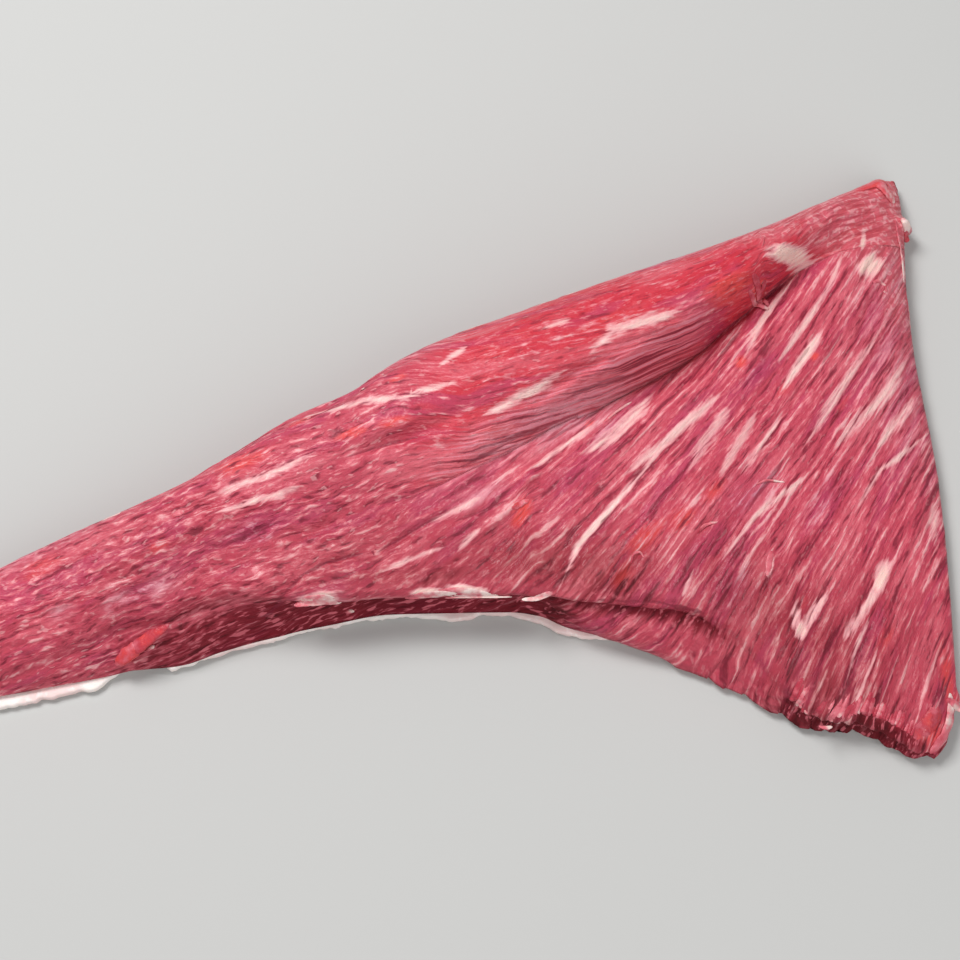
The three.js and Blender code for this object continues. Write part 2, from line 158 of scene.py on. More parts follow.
# Relief and marks that are finer than the solid's. Strands: length and width, their height on the fan and
# elsewhere, and a number that sets their places.
STRANDS = [
    (26, 3.8, 0.75, 0.4, 3),
    (13, 2.3, 0.6, 0.5, 4),
    (6, 1.6, 0.3, 0.4, 5),
]
CRUMPLE = (6, 3.0, 0.6, 6)  # short bumps in the tail: length, width, height, places
CREASE_SLIT = (2.4, 1.3)  # the sharp bottom of the crease: depth and half width
CRACK_WIDTH = 0.9
FAN_FROM, FAN_FADE = -25, 60  # where the coarse fan begins, and how far it takes to be in full
FLANK_FROM, FLANK_TO = -8, 98  # the striped flank of the roll, along the crease
FLANK_MIDDLE, FLANK_HALF_WIDTH = 5, 6
RAGGED_FROM = 92  # from here on the near rim is ragged: size, length and places of each noise
RAGGED_RIM = [(0.9, 2.1, 7), (0.7, 5.3, 27)]
WALL_ROUGHNESS = [(0.35, 1.7, 14, 8), (0.5, 6, 5, 9)]  # size, width, waves up the wall, places
GROOVE_LEVEL, GROOVE_WIDTH = 0.86, 0.08  # the groove under the lip, in shares of the wall's height

# Seams of fat between the strands: half width, whiteness, and the places that each runs through.
SEAMS = [
    (1.5, 0.8, (-62, -23.5), (-57, -21), (-46, -18), (-31, -11)),
    (1.0, 0.7, (-62, -29.5), (-47, -25.5), (-34, -21)),
    (1.1, 0.8, (-35, 3), (-14, 6), (-4, 6), (10, 10)),
    (1.2, 0.9, (22, 2), (35, 8.5), (46, 15)),
    (0.8, 0.6, (-9, -46), (3, -40.5), (10, -38)),
    (0.8, 0.5, (13, -39.5), (20, -32.5)),
    (0.9, 0.5, (4, -31), (19, -23)),
    (1.9, 0.8, (55, 21), (62, 28), (83, 35.5)),
    (1.0, 0.7, (7, 17), (16, 24)),
    (0.7, 0.6, (39, 28), (49, 32)),
    (1.0, 0.6, (0, 8.5), (13, 11)),
    (0.9, 1.0, (36, -13.5), (45, -6), (54, 1.5)),
    (1.7, 0.9, (52.5, -7.5), (62, -1), (67, 4.5), (77, 16)),
    (1.5, 0.7, (66, -14), (81, -2), (97, 13.5)),
    (1.1, 1.0, (85, 5), (74.5, -9.5), (63, -23), (51, -37), (44, -52)),
    (1.6, 0.4, (100, 9), (92, -2.5), (86, -12)),
    (1.7, 0.6, (147, -46), (143.7, -51), (138, -59), (134, -65)),
    (1.2, 0.3, (109, 8), (100.5, -6.5), (96, -15)),
    (1.0, 0.7, (117, 8), (111, -2.5), (102, -14)),
    (0.9, 0.7, (123, -13.5), (115, -20), (107, -27), (96, -41)),
    (1.2, 0.7, (126, 60), (113, 41), (105, 25)),
    (1.7, 1.0, (131.5, 37), (125, 27.5), (118.5, 17)),
    (1.0, 0.6, (140, 64), (136, 54.5), (130, 45), (118, 27)),
    (1.7, 0.7, (160, 29), (153, 18), (142.5, 7), (135, -2)),
    (1.2, 0.6, (154.5, 43), (140.5, 22.5), (130.5, 6.5), (123, -4)),
    (1.3, 0.7, (163, 19), (156.5, 8.5), (149, -1)),
    (0.9, 0.7, (167, 6), (157, -3), (149, -9), (140, -23)),
    (0.8, 0.6, (143, -56), (137, -69), (133, -80)),
    (0.7, 0.6, (87, -44), (84.5, -49), (83, -53)),
    (0.5, 0.3, (144, -68), (138, -81), (133, -91)),
    (0.5, 0.2, (166.5, -62), (161.5, -73), (156, -86)),
    (0.4, 0.2, (151, -69), (145, -82.5), (141, -92)),
    (0.5, 0.2, (165, -79), (160, -88.5), (156, -96)),
]

# Cracks between strands: depth, how much painted shade darkens them, and the places that each runs through.
CRACKS = [
    (1.0, 0.7, (-24, -13.5), (-10, -8), (5, -4)),
    (0.9, 0.8, (-63, -40), (-50, -34.5), (-41, -31)),
    (1.1, 0.9, (-38, -49), (-27.5, -43.5), (-14, -40)),
    (1.1, 0.9, (-12, -40.5), (2, -31.5), (12, -26.5)),
    (1.0, 0.8, (12, -14.5), (19, -10.5), (34, -2)),
    (0.9, 0.8, (-50, -59), (-41, -53), (-34, -47)),
    (0.8, 0.6, (-13, -26), (0, -22)),
    (0.8, 0.7, (11, -31), (29, -23)),
    (0.5, 0.5, (127.5, 31.5), (121.5, 23)),
    (1.2, 0.9, (112, 48), (124, 59.5)),
    (0.7, 0.7, (36, -6), (49, 2), (62, 11)),
    (0.7, 0.7, (44, 7), (58, 14), (70, 19)),
    (0.8, 0.9, (65, -23), (57, -31.5)),
    (0.8, 0.8, (98, 33), (90, 22), (86, 15)),
    (0.8, 0.8, (106, 38), (98, 27), (94, 20)),
    (1.0, 0.9, (56, -54), (66, -54.5), (75, -54.5), (86, -56.5), (94, -58.5)),
    (0.6, 0.6, (140, 39), (131, 25)),
    (0.7, 0.7, (120, -4), (108, -20), (101, -30)),
]

# Patches: strength, then middle x, y, length, degrees and half width. The pale ones are fat, membrane is
# thin silver-pink skin, and where the fibres are cut across their ends face up. The membrane patches along
# the far edge are a painted sheen, the dark patches are painted shade along the near edge and its undercut,
# and the dusky patches are painted shade where less light falls on the fan.
PALE_PATCHES = [
    (1.2, 121, 60.8, 27, 14, 2.7), (1.1, 149.8, 62.4, 17, 40, 3.8), (0.8, 148.3, 71, 15, 80, 1.1),
    (0.8, 147, -44, 19, 72, 2.8), (0.8, 118.5, -58.5, 19, 80, 1.9), (0.8, 124.5, -57, 25, 58, 2.0),
    (0.9, 120, -63, 10, 70, 2.6), (0.9, 111, -43, 15, 80, 1.3), (0.8, 16, 35.5, 15, 27, 1.2),
    (0.8, 39, 44, 15, 22, 0.8), (0.8, 49, 48, 13, 22, 0.8), (0.8, -50, -26, 12, 22, 1.6),
    (1.2, -31, -54.6, 20, 8, 1.8), (1.1, 4, -52.2, 16, 2, 1.2), (1.1, 16, -51.4, 20, -6, 1.3),
    (1.0, 39, -53.4, 12, 24, 1.1), (0.4, 165.5, -15, 110, 92, 3.0),
]
BLOOD_SPOTS = [
    (0.8, -54, -13, 30, 14, 4.4), (0.9, -20, -5.5, 18, 20, 2.0), (0.9, -7, -2, 16, 18, 1.8),
    (0.9, 25, -2.5, 22, 25, 3.0), (1.0, 55.2, 3, 6, 30, 2.0), (1.0, 104.5, 24.5, 8, 60, 2.2),
    (1.0, 128.7, 28, 6, 50, 1.6), (0.75, 71, -34, 26, 50, 4.5), (0.75, 64, -47, 18, 60, 4),
    (0.65, 84, -28, 20, 45, 4), (0.65, 94, -19, 18, 50, 3), (0.6, 147, -64, 20, 62, 4),
    (0.9, 160, -93, 18, 62, 5), (0.9, 111, 49, 12, 35, 3), (1.0, 156, 94, 14, 25, 6),
    (0.45, 60, 32, 50, 24, 6), (0.9, 100, 46, 32, 32, 5),
    (0.6, -117, -44, 24, 27, 4.5), (0.7, -80, -38, 12, 25, 2.5), (0.8, -145, -60, 26, 26, 6),
    (0.8, -6, 14, 10, 28, 1.8), (0.45, 30, 24, 40, 24, 5), (0.6, 118, 16, 16, 55, 2.5),
    (0.6, 120.5, -54, 12, 64, 2.0), (0.6, 144, 74, 18, 50, 2.5), (0.5, 137, 12, 24, 55, 3),
    (1.0, 33, -27, 17, 62, 2.8), (0.7, -36, 1, 24, 26, 2.0), (0.7, 166.5, -78, 50, 95, 3.5),
]
MEMBRANE_AND_SHEEN_PATCHES = [
    (1.0, 50, 5, 52, 29, 5.0), (0.8, 28, -6, 30, 28, 4), (0.7, -93, -55, 14, 24, 3),
    (0.7, -78, -50, 16, 20, 3.2), (0.8, 61, 1, 20, 42, 4), (0.8, -30, -56, 24, 10, 3.4),
    (0.6, -110, -58, 12, 22, 2), (0.7, 20, -22, 26, 28, 3), (0.5, 156, 24, 100, 98, 10),
    (0.5, -115, -36, 90, 28, 4), (0.5, 0, 27, 110, 25, 4), (0.5, 100, 68, 100, 27, 4),
# These three along the far edge are a painted sheen, a paler pink veil where the wet face turns away.
]
PURPLE_PATCHES = [
    (0.25, 73, 26, 46, 24, 4), (0.25, 90, 31, 40, 36, 5), (0.9, -50, -34, 34, 20, 5),
    (0.9, 110, 22, 26, 56, 4), (0.7, 104, -20, 46, 50, 9), (0.7, 100, -52, 34, 62, 8),
    (0.35, 150, 82, 50, 20, 14), (0.5, 160, 56, 40, 96, 5), (0.5, 60, -2, 20, 40, 5),
    (0.9, -85, -52, 26, 22, 4), (0.6, 130, -20, 50, 55, 6), (0.7, 45, -16, 24, 40, 5),
]
CUT_ACROSS_PATCHES = [(1.0, 148, 79, 72, 17, 15), (0.8, 160, 50, 50, 96, 7), (0.7, 112, 66, 60, 24, 6)]
# Painted shade along the near edge and in its undercut.
SHADE_PATCHES = [
    (1.0, -58, -59, 56, 6, 6), (0.6, 58, -51, 40, 2, 6), (1.0, -78, -64, 16, 30, 4),
    (0.5, 8, -48, 30, 30, 5), (1.3, 146, -93, 36, -24, 2.6), (0.4, 133, -86, 60, -14, 8),
]
# Painted shade where less light falls on the lower fan and the near edge.
DUSK_SHADE_PATCHES = [
    (0.85, 118, -62, 122, -26, 18), (1.0, 44, -43, 110, -3, 11), (1.0, 128, -80, 64, -12, 11),
    (1.0, 134, -90, 56, -14, 9), (0.8, 0, -47.5, 130, 3, 4.5), (0.5, -20, -40, 90, 20, 12),
    (0.35, -80, -46, 80, 22, 16), (0.4, 144, -60, 90, -40, 16),
]
# Painted shade on the near wall along the steak, by station and share.
WALL_SHADE = [
    (-170, 0), (-110, 0.1), (-84, 0.6), (-66, 0.85), (-45, 1), (40, 1), (50, 0.5), (60, 0.05),
    (108, 0.1), (120, 0.9), (150, 1), (170, 0.8),
]

ALONG, FAN_ROWS, ROLL_ROWS, WALL_RINGS = 390, 146, 60, 14
CROWDING = 0.25  # how much closer the rows are at both ends of a span


def through(pairs):
    """A smooth curve through (place, value) pairs: cubics whose slope at a pair is the harmonic mean of
    the rises on its two sides, or 0 at a high or low point, so that they never overshoot."""
    places, values = np.array(pairs, float).T
    widths = np.diff(places)
    rises = np.diff(values) / widths
    product, total = rises[:-1] * rises[1:], rises[:-1] + rises[1:]
    inner = np.divide(2 * product, total, out=np.zeros_like(total), where=product > 0)
    slopes = np.concatenate([rises[:1], inner, rises[-1:]])

    def curve(place):
        i = np.searchsorted(places[1:-1], place)
        t = np.clip((place - places[i]) / widths[i], 0, 1)
        return (
            (2 * t**3 - 3 * t**2 + 1) * values[i]
            + (t**3 - 2 * t**2 + t) * widths[i] * slopes[i]
            + (3 * t**2 - 2 * t**3) * values[i + 1]
            + (t**3 - t**2) * widths[i] * slopes[i + 1]
        )

    return curve


far_edge, near_edge, wide_edge = through(FAR_EDGE), through(NEAR_EDGE), through(WIDE_EDGE)
roll_height, roll_crest = through(ROLL_HEIGHT), through(ROLL_CREST)
crease_line, crease_depth = through(CREASE_LINE), through(CREASE_DEPTH)
lip_inset, lip_height, lip_hollow = through(LIP_INSET), through(LIP_HEIGHT), through(LIP_HOLLOW)
crease_start = float(CREASE_DEPTH[0][0])


def mix(low, high, share):
    """low where share is 0, high where it is 1, and evenly between."""
    return low + (high - low) * share


def smooth(share):
    """3 s^2 - 2 s^3 of share, held to 0..1: a step with soft ends."""
    s = np.clip(share, 0, 1)
    return s * s * (3 - 2 * s)


def quarter_round(distance, reach):
    """The height of a quarter circle: 0 at the edge, 1 at the given reach."""
    return np.sqrt(1 - (1 - np.clip(distance / reach, 0, 1)) ** 2)


def unevenness(x, y, seed):
    """Value noise from -1 to 1: random numbers on a unit grid, blended with soft steps between."""
    column, row = np.floor(x), np.floor(y)
    sx, sy = smooth(x - column), smooth(y - row)

    def corner(i, j):
        value = np.sin((column + i) * 127.1 + (row + j) * 311.7 + seed * 74.7) * 43758.5453
        return value - np.floor(value)

    return 2 * mix(mix(corner(0, 0), corner(1, 0), sx), mix(corner(0, 1), corner(1, 1), sx), sy) - 1


def fibre_angle(x, y, guides):
    """The direction of the fibres at each place, in radians: the mean of the guides' directions, weighted
    by a bell curve of their distance."""
    gx, gy, degrees = np.array(guides, float).T
    distance2 = (x[..., None] - gx) ** 2 + (y[..., None] - gy) ** 2
    weight = np.exp(-distance2 / (2 * GRAIN_REACH**2)) + 1e-9
    return np.radians((weight @ degrees) / weight.sum(-1))


def follow_fibre(x, y, guides):
    """Traces every place along the fibres, in steps, to the line x + y = GRAIN_START. Gives the length that
    was traced, and where on the line the fibre crosses."""
    px, py, along = x.ravel().copy(), y.ravel().copy(), np.zeros(x.size)
    moving = np.arange(x.size)
    while moving.size:
        angle = fibre_angle(px[moving], py[moving], guides)
        gap = px[moving] + py[moving] - GRAIN_START
        step = np.clip(gap / (np.cos(angle) + np.sin(angle)), -GRAIN_STEP, GRAIN_STEP)
        px[moving] -= step * np.cos(angle)
        py[moving] -= step * np.sin(angle)
        along[moving] += step
        moving = moving[np.abs(gap) > 1e-3]
    return np.stack([along, (py - px) / np.sqrt(2)]).reshape((2,) + x.shape)


def in_fibres(vector, x, y, on_roll):
    """The parts of a plan vector along and across the fibres at each place."""
    angle = mix(fibre_angle(x, y, FAN_GRAIN), fibre_angle(x, y, ROLL_GRAIN), on_roll)
    c, s = np.cos(angle), np.sin(angle)
    return np.stack([vector[..., 0] * c + vector[..., 1] * s, vector[..., 1] * c - vector[..., 0] * s], -1)


def roll_share(x, y):
    """1 on the roll, 0 on the fan, with a sharp change at the crease that fades out where it starts."""
    return (y > crease_line(x)) * smooth((x - crease_start) / 30)


def fibre_at(x, y):
    """Along and across coordinates of the fibre at each place, in mm. The roll and the fan have fields of
    their own, which are made to meet where the crease starts."""
    start = np.array([crease_start]), crease_line(np.array([crease_start]))
    shift = follow_fibre(*start, FAN_GRAIN) - follow_fibre(*start, ROLL_GRAIN)
    shift = shift.reshape((2,) + (1,) * x.ndim)
    return mix(follow_fibre(x, y, FAN_GRAIN), follow_fibre(x, y, ROLL_GRAIN) + shift, roll_share(x, y))


def mound(x, y, middle_x, middle_y, length, degrees, half_width):
    """A mound along a short line: (1 - along^2)^1.5 lengthwise, a bell curve crosswise."""
    c, s = np.cos(np.radians(degrees)), np.sin(np.radians(degrees))
    along = ((x - middle_x) * c + (y - middle_y) * s) / (length / 2)
    across = (-(x - middle_x) * s + (y - middle_y) * c) / half_width
    return np.clip(1 - along**2, 0, 1) ** 1.5 * np.exp(-(across**2))


def mounds(x, y, patches):
    """The highest at each place of several mounds, each times its strength."""
    return np.max([strength * mound(x, y, *patch) for strength, *patch in patches], axis=0)


def nearest_line(x, y, lines, half_width=None):
    """The line that each place is nearest to, in half widths: how far aside of it the place is, with a
    sign; how far along, from -1 at the line's start to 1 at its end; and the line's second number."""
    best, aside, along, number = np.full((4,) + x.shape, 99.0)
    for width, strength, *places in lines:
        places = np.array(places, float)
        spans = np.diff(places, axis=0)
        lengths = np.hypot(*spans.T)
        for start, span, length, done in zip(places, spans, lengths, np.cumsum(lengths) - lengths):
            dx, dy = x - start[0], y - start[1]
            t = (dx * span[0] + dy * span[1]) / length**2
            off = (dy * span[0] - dx * span[1]) / length / (half_width or width)
            held = np.clip(t, 0, 1)
            far = np.hypot(dx - held * span[0], dy - held * span[1]) / (half_width or width)
            nearer = far < best
            best[nearer], aside[nearer] = far[nearer], off[nearer]
            number[nearer] = strength * (far[nearer] < max(2, 1.8 / (half_width or width)))
            along[nearer] = 2 * (done + t[nearer] * length) / lengths.sum() - 1
    number[best == 99] = 0
    return np.clip(aside, -9, 9), np.clip(along, -3, 3), number


def crack_depth(x, y):
    """The cracks as grooves: a bell curve across each, and 1 - along^2 lengthwise."""
    lines = [(0, depth, *places) for depth, _, *places in CRACKS]
    aside, along, depth = nearest_line(x, y, lines, CRACK_WIDTH)
    return depth * np.exp(-(aside**2)) * np.clip(1 - along**2, 0, 1)


def roll(x, y):
    """The roll's rise: a bell curve on its far side; on its near side a soft step that turns into
    1 - s^ROLL_SQUARENESS where the crease is deep, s being the share of the way from crest to crease."""
    crest = roll_crest(x)
    share = np.clip((crest - y) / (crest - crease_line(x)), 0, 1)
    creased = np.clip(crease_depth(x) / CREASE_FULL_DEPTH, 0, 1)
    near_side = 1 - mix(smooth(share), share**ROLL_SQUARENESS, creased)
    far_side = np.exp(-(((y - crest) / ROLL_FAR_SIDE) ** 2))
    return roll_height(x) * np.where(y > crest, far_side, near_side)


def crease(x, y):
    """The crease: a bell curve across its line, narrow on the roll's side and wide on the fan's, with a
    sharp slit at its bottom."""
    slope = (crease_line(x + 1) - crease_line(x - 1)) / 2
    aside = (y - crease_line(x)) / np.hypot(1, slope)
    reach = np.where(aside > 0, CREASE_ROLL_SIDE, CREASE_FAN_SIDE)
    slit_depth, slit_width = CREASE_SLIT
    slit = slit_depth / max(depth for _, depth in CREASE_DEPTH) * np.exp(-((aside / slit_width) ** 2))
    return crease_depth(x) * (np.exp(-((aside / reach) ** 2)) + slit)


def face_height(x, y):
    """The slab between its thickness at the near edge and at the crest, with roll, crease, folds, flaps."""
    share = smooth((y - near_edge(x)) / (roll_crest(x) - near_edge(x)))
    height = mix(through(EDGE_HEIGHT)(x), through(MIDDLE_HEIGHT)(x), share) + roll(x, y) - crease(x, y)
    for *place, depth, half_width in FOLDS:
        height -= depth * mound(x, y, *place, half_width)
    for *place, rise, half_width in FLAPS:
        height += rise * mound(x, y, *place, half_width)
    return height


def coarse_relief(x, y, along, across):
    """Bundles of strands and the slow swell, both value noise, the first stretched along the fibres."""
    bundles = unevenness(along / BUNDLE_LENGTH, across / BUNDLE_WIDTH, 1)
    swell = unevenness(x / SWELL_SIZE, y / SWELL_SIZE, 2)
    return (BUNDLE_HEIGHT / 2) * bundles + (SWELL_HEIGHT / 2) * swell


def fan_share(x, y):
    """1 on the fan of coarse strands, 0 in the tail and on the roll, with soft steps between."""
    past_tail = smooth((x - FAN_FROM) / FAN_FADE)
    return past_tail * smooth((crease_line(x) + 3 - y) / 6)


def flank_share(x, y):
    """1 on the roll's flank over the crease, 0 elsewhere: a bell curve of the distance from its middle,
    with soft ends."""
    from_middle = (y - crease_line(x) - FLANK_MIDDLE) / FLANK_HALF_WIDTH
    return smooth((x - FLANK_FROM) / 25) * smooth((FLANK_TO - x) / 12) * np.exp(-(from_middle**2))


def fine_relief(x, y, along, across):
    """Strands: the size of value noise, so round backs and sharp valleys, at three widths. The tail has
    shorter bumps as well, and the cracks are cut in."""
    fan = fan_share(x, y)
    height = -crack_depth(x, y)
    for length, width, on_fan, elsewhere, seed in STRANDS:
        wander = 0.35 * unevenness(along / 18, across / 9, seed + 10)
        ridges = np.abs(unevenness(along / length, across / width + wander, seed)) - 0.4
        height += mix(elsewhere * (1 + flank_share(x, y)), on_fan, fan) * ridges
    length, width, rise, seed = CRUMPLE
    return height + (1 - fan) * rise * (np.abs(unevenness(along / length, across / width, seed)) - 0.4)


def torn(place, sizes):
    """How far a torn line is off its way at each place: a sum of value noises."""
    return sum(size * unevenness(place / length, 0 * place, seed) for size, length, seed in sizes)


def crowded(count):
    """Steps from 0 to 1 that are closer together near both ends: t minus a full sine wave."""
    t = np.linspace(0, 1, count + 1)
    return t - CROWDING * np.sin(2 * np.pi * t) / (2 * np.pi)


def rim_of(grid):
    """The grid's edge cells once round, counterclockwise seen from above, as the first axis."""
    return np.concatenate([grid[:-1, 0], grid[-1, :-1], grid[:0:-1, -1], grid[0, :0:-1]])


def outwards(loop, reach=1):
    """Unit vectors across the line between the points that lie reach places before and after each one."""
    span = np.roll(loop, -reach, 0) - np.roll(loop, reach, 0)
    return np.stack([span[:, 1], -span[:, 0]], 1) / np.linalg.norm(span[:, :2], axis=1)[:, None]


def ends_at(b, nose_length=TAIL_NOSE):
    """The x of the plan's two ends at each share b of the way from near to far: the tail's half ellipse,
    and the wide side."""
    nose = TAIL_X - nose_length * np.sqrt(np.clip(1 - (2 * b - 1) ** 2, 0, 1))
    return nose, wide_edge(mix(WIDE_EDGE[0][0], WIDE_EDGE[-1][0], b))


def lean_plan():
    """The plan of the upper face: a patch ruled between the near and far edges and stretched from the
    tail's round end to the wide side. Its rows crowd so that one of them follows the crease. Gives x, y,
    the station along the edges, the share of the way between them and how far the ragged rim is moved."""
    a = crowded(ALONG)[:, None]
    station = mix(TAIL_X, WIDE_X, a)
    near, far = near_edge(station) + lip_inset(station), far_edge(station)
    crease_share = (crease_line(station) - near) / (far - near)
    for _ in range(3):
        crease_share = (crease_line(mix(*ends_at(crease_share), a)) - near) / (far - near)
    even_share = FAN_ROWS / (FAN_ROWS + ROLL_ROWS)
    crease_share = mix(even_share, crease_share, smooth((station - crease_start + 48) / 48))
    fan_rows = crease_share * crowded(FAN_ROWS)
    roll_rows = mix(crease_share, 1, crowded(ROLL_ROWS)[1:])
    b = np.concatenate([fan_rows, roll_rows], 1)
    ragged = torn(station, RAGGED_RIM) * smooth((station - RAGGED_FROM) / 20) * (1 - b) ** 12
    return mix(*ends_at(b), a), mix(near, far, b) + ragged, np.broadcast_to(station, b.shape), b, ragged


def face_level(x, y, station, b):
    """The face's level: its height times a quarter circle at each side, first without the fibres' relief
    and then with it; and the fibre's coordinates."""
    along, across = fibre_at(x, y)
    span = far_edge(station) - near_edge(station) - lip_inset(station)
    nose, wide = ends_at(b)
    rise = (
        quarter_round(b * span, through(NEAR_ROUNDING)(station))
        * quarter_round((1 - b) * span, FAR_ROUNDING)
        * quarter_round(x - nose, TAIL_ROUNDING)
        * quarter_round(wide - x, WIDE_ROUNDING)
    )
    start = mix(lip_height(station), through(SHOULDER_HEIGHT)(station), b)
    plain = start + (face_height(x, y) - start) * rise
    relief = coarse_relief(x, y, along, across) * rise
    relief += fine_relief(x, y, along, across) * mix(0.3, 1, rise)
    return plain, plain + relief, along, across


def level_at(x, y):
    """The face's level at any place: the station and the share that the place has in the plan are found
    by taking turns between them."""
    a = (x - TAIL_X) / (WIDE_X - TAIL_X)
    for _ in range(6):
        station = mix(TAIL_X, WIDE_X, a)
        near = near_edge(station) + lip_inset(station)
        b = np.clip((y - near) / (far_edge(station) - near), 0, 1)
        nose, wide = ends_at(b)
        a = np.clip((x - nose) / (wide - nose), 0, 1)
    return face_level(x, y, station, b)[1]


def lean_surface():
    """The upper face, and the wall rings, which carry its rim down to the foot by inset, hollow and groove.
    Gives points and fibre coordinates, which are as if the face and the wall were rolled flat, and how
    much painted shade each place on the wall gets."""
    x, y, station, b, ragged = lean_plan()
    plain, level, along, across = face_level(x, y, station, b)
    top = np.stack([x, y, level], -1)

    # The face is longer than its plan where it slopes, and the fibre coordinates grow by as much.
    steps = np.diff(np.stack([x, y - ragged, plain], -1), axis=1)
    longer = np.linalg.norm(steps, axis=-1) / np.linalg.norm(steps[..., :2], axis=-1) - 1
    place = x[:, 1:], y[:, 1:]
    grown = in_fibres(steps[..., :2] * longer[..., None], *place, roll_share(*place))
    grown = np.pad(np.cumsum(grown, axis=1), ((0, 0), (1, 0), (0, 0)))
    strand = np.stack([along, across], -1) + grown - grown[:, FAN_ROWS, None]

    # The wall, on which t is 1 at the rim and 0 at the foot.
    loop, rim_station, rim_b, rim_strand = (rim_of(grid) for grid in (top, station, b, strand))
    near_side = 1 - smooth(rim_b * 8)
    inset = lip_inset(rim_station) * near_side
    hollow = mix(-0.5, lip_hollow(rim_station), near_side)
    groove = through(LIP_GROOVE)(rim_station) * near_side
    t = np.linspace(1, 0, WALL_RINGS + 1)[1:, None]
    rough = sum(
        size * unevenness(rim_strand[:, 1] / width + 0 * t, waves * t, seed)
        for size, width, waves, seed in WALL_ROUGHNESS
    )
    from_corner = np.hypot(*(loop[:, :2] - top[-1, -1, :2]).T) / CORNER_REACH
    out = inset - mix(mix(UNDERCUT * smooth(from_corner), 0, near_side), inset, t)
    out -= hollow * np.sin(np.pi * t)
    out += rough * np.sin(np.pi * t) ** 0.5
    out -= groove * np.exp(-(((t - GROOVE_LEVEL) / GROOVE_WIDTH) ** 2))
    outward = outwards(loop)
    place = loop[:, :2] + outward * out[:, :, None]
    level = mix(FAT_THICKNESS + SEAM_GAP, loop[:, 2], t)
    rings = np.concatenate([place, level[:, :, None]], -1)

    # The fibre coordinates go on down the wall by its length.
    steps = np.diff(np.concatenate([loop[None], rings]), axis=0)
    unrolled = np.cumsum(np.linalg.norm(steps, axis=-1), axis=0)[:, :, None]
    ring_strand = rim_strand + in_fibres(outwards(loop, 12), *loop.T[:2], rim_b > 0.9) * unrolled
    # Painted shade on the wall: from a little below the rim down to the foot, and more in the groove and
    # the hollow under the lip.
    shade_amount = mix(0.35, through(WALL_SHADE)(rim_station), near_side) * smooth((1 - t) * 4)
    shade_amount = np.maximum(shade_amount, groove / 3 * np.exp(-(((t - GROOVE_LEVEL) / 0.1) ** 2)))
    shade_amount += np.clip(hollow / 4, 0, 1) * np.exp(-(((t - 0.9) / 0.12) ** 2))
    return top, rings, strand, ring_strand, shade_amount


def closed_mesh(name, top, rings):
    """A closed mesh in metres: the top grid, rings of quads that hang from its rim, and one flat face
    inside the last ring as the underside."""
    numbers = np.arange(top.shape[0] * top.shape[1]).reshape(top.shape[:2])
    quads = [np.stack([numbers[:-1, :-1], numbers[1:, :-1], numbers[1:, 1:], numbers[:-1, 1:]], -1)]
    levels = numbers.size + np.arange(rings.shape[0] * rings.shape[1]).reshape(rings.shape[:2])
    levels = np.concatenate([rim_of(numbers)[None], levels])
    upper, lower = levels[:-1], levels[1:]
    quads.append(np.stack([upper, lower, np.roll(lower, -1, 1), np.roll(upper, -1, 1)], -1))
    points = np.concatenate([top.reshape(-1, 3), rings.reshape(-1, 3)]) * MM
    faces = np.concatenate([q.reshape(-1, 4) for q in quads]).tolist() + [levels[-1, ::-1].tolist()]
    mesh = bpy.data.meshes.new(name)
    mesh.from_pydata(points.tolist(), [], faces)
    mesh.shade_smooth()
    mesh.polygons[-1].use_smooth = False
    return mesh


def add_vectors(mesh, name, first, second, third):
    """Stores three numbers at each vertex under one name."""
    values = np.stack(np.broadcast_arrays(first, second, third), -1).astype(np.float32)
    mesh.attributes.new(name, "FLOAT_VECTOR", "POINT").data.foreach_set("vector", values.ravel())


def put(tree, kind, inputs=(), **settings):
    """Adds a shader node: settings are its properties, inputs are numbers, colours or other sockets."""
    made = tree.nodes.new("ShaderNode" + kind)
    for name, value in settings.items():
        setattr(made, name, value)
    for socket, value in dict(inputs).items():
        if isinstance(value, bpy.types.NodeSocket):
            tree.links.new(value, made.inputs[socket])
        else:
            made.inputs[socket].default_value = value
    return made


def maths(tree, operation, first, second=0.0, third=0.0):
    """One sum, product, comparison or the like of up to three numbers."""
    return put(tree, "Math", {0: first, 1: second, 2: third}, operation=operation).outputs[0]


def times(tree, first, second):
    """The product of two numbers."""
    return maths(tree, "MULTIPLY", first, second)


def swung(tree, noise, factor, start=0.0):
    """A number that is moved by how far a noise is from its middle, times a factor."""
    return maths(tree, "MULTIPLY_ADD", maths(tree, "SUBTRACT", noise, 0.5), factor, start)


def band(tree, value, low, high, to_low=0.0, to_high=1.0):
    """A soft step of a value from low to high."""
    inputs = {"Value": value, "From Min": low, "From Max": high, "To Min": to_low, "To Max": to_high}
    return put(tree, "MapRange", inputs, interpolation_type="SMOOTHSTEP").outputs[0]


def between(tree, share, first, second):
    """A number: first where share is 0, second where it is 1."""
    return put(tree, "MapRange", {"Value": share, "To Min": first, "To Max": second}).outputs[0]


def blend(tree, share, first, second, kind="MIX"):
    """A mix of two colours."""
    inputs = {0: share, 6: first, 7: second}
    return put(tree, "Mix", inputs, data_type="RGBA", blend_type=kind).outputs[2]


def parts_of(tree, name):
    """The three numbers that each vertex stores under a name."""
    stored = put(tree, "Attribute", attribute_name=name, attribute_type="GEOMETRY").outputs["Vector"]
    return put(tree, "SeparateXYZ", {0: stored}).outputs


def add_piece(mesh, material):
    """Puts a mesh and its material into the scene as an object of the mesh's name."""
    mesh.materials.append(material)
    piece = bpy.data.objects.new(mesh.name, mesh)
    bpy.context.scene.collection.objects.link(piece)
    return piece


def new_material(name):
    """A material with only its shader and output, and the shader's node."""
    material = bpy.data.materials.new(name)
    material.use_nodes = True
    return material, material.node_tree, material.node_tree.nodes["Principled BSDF"]


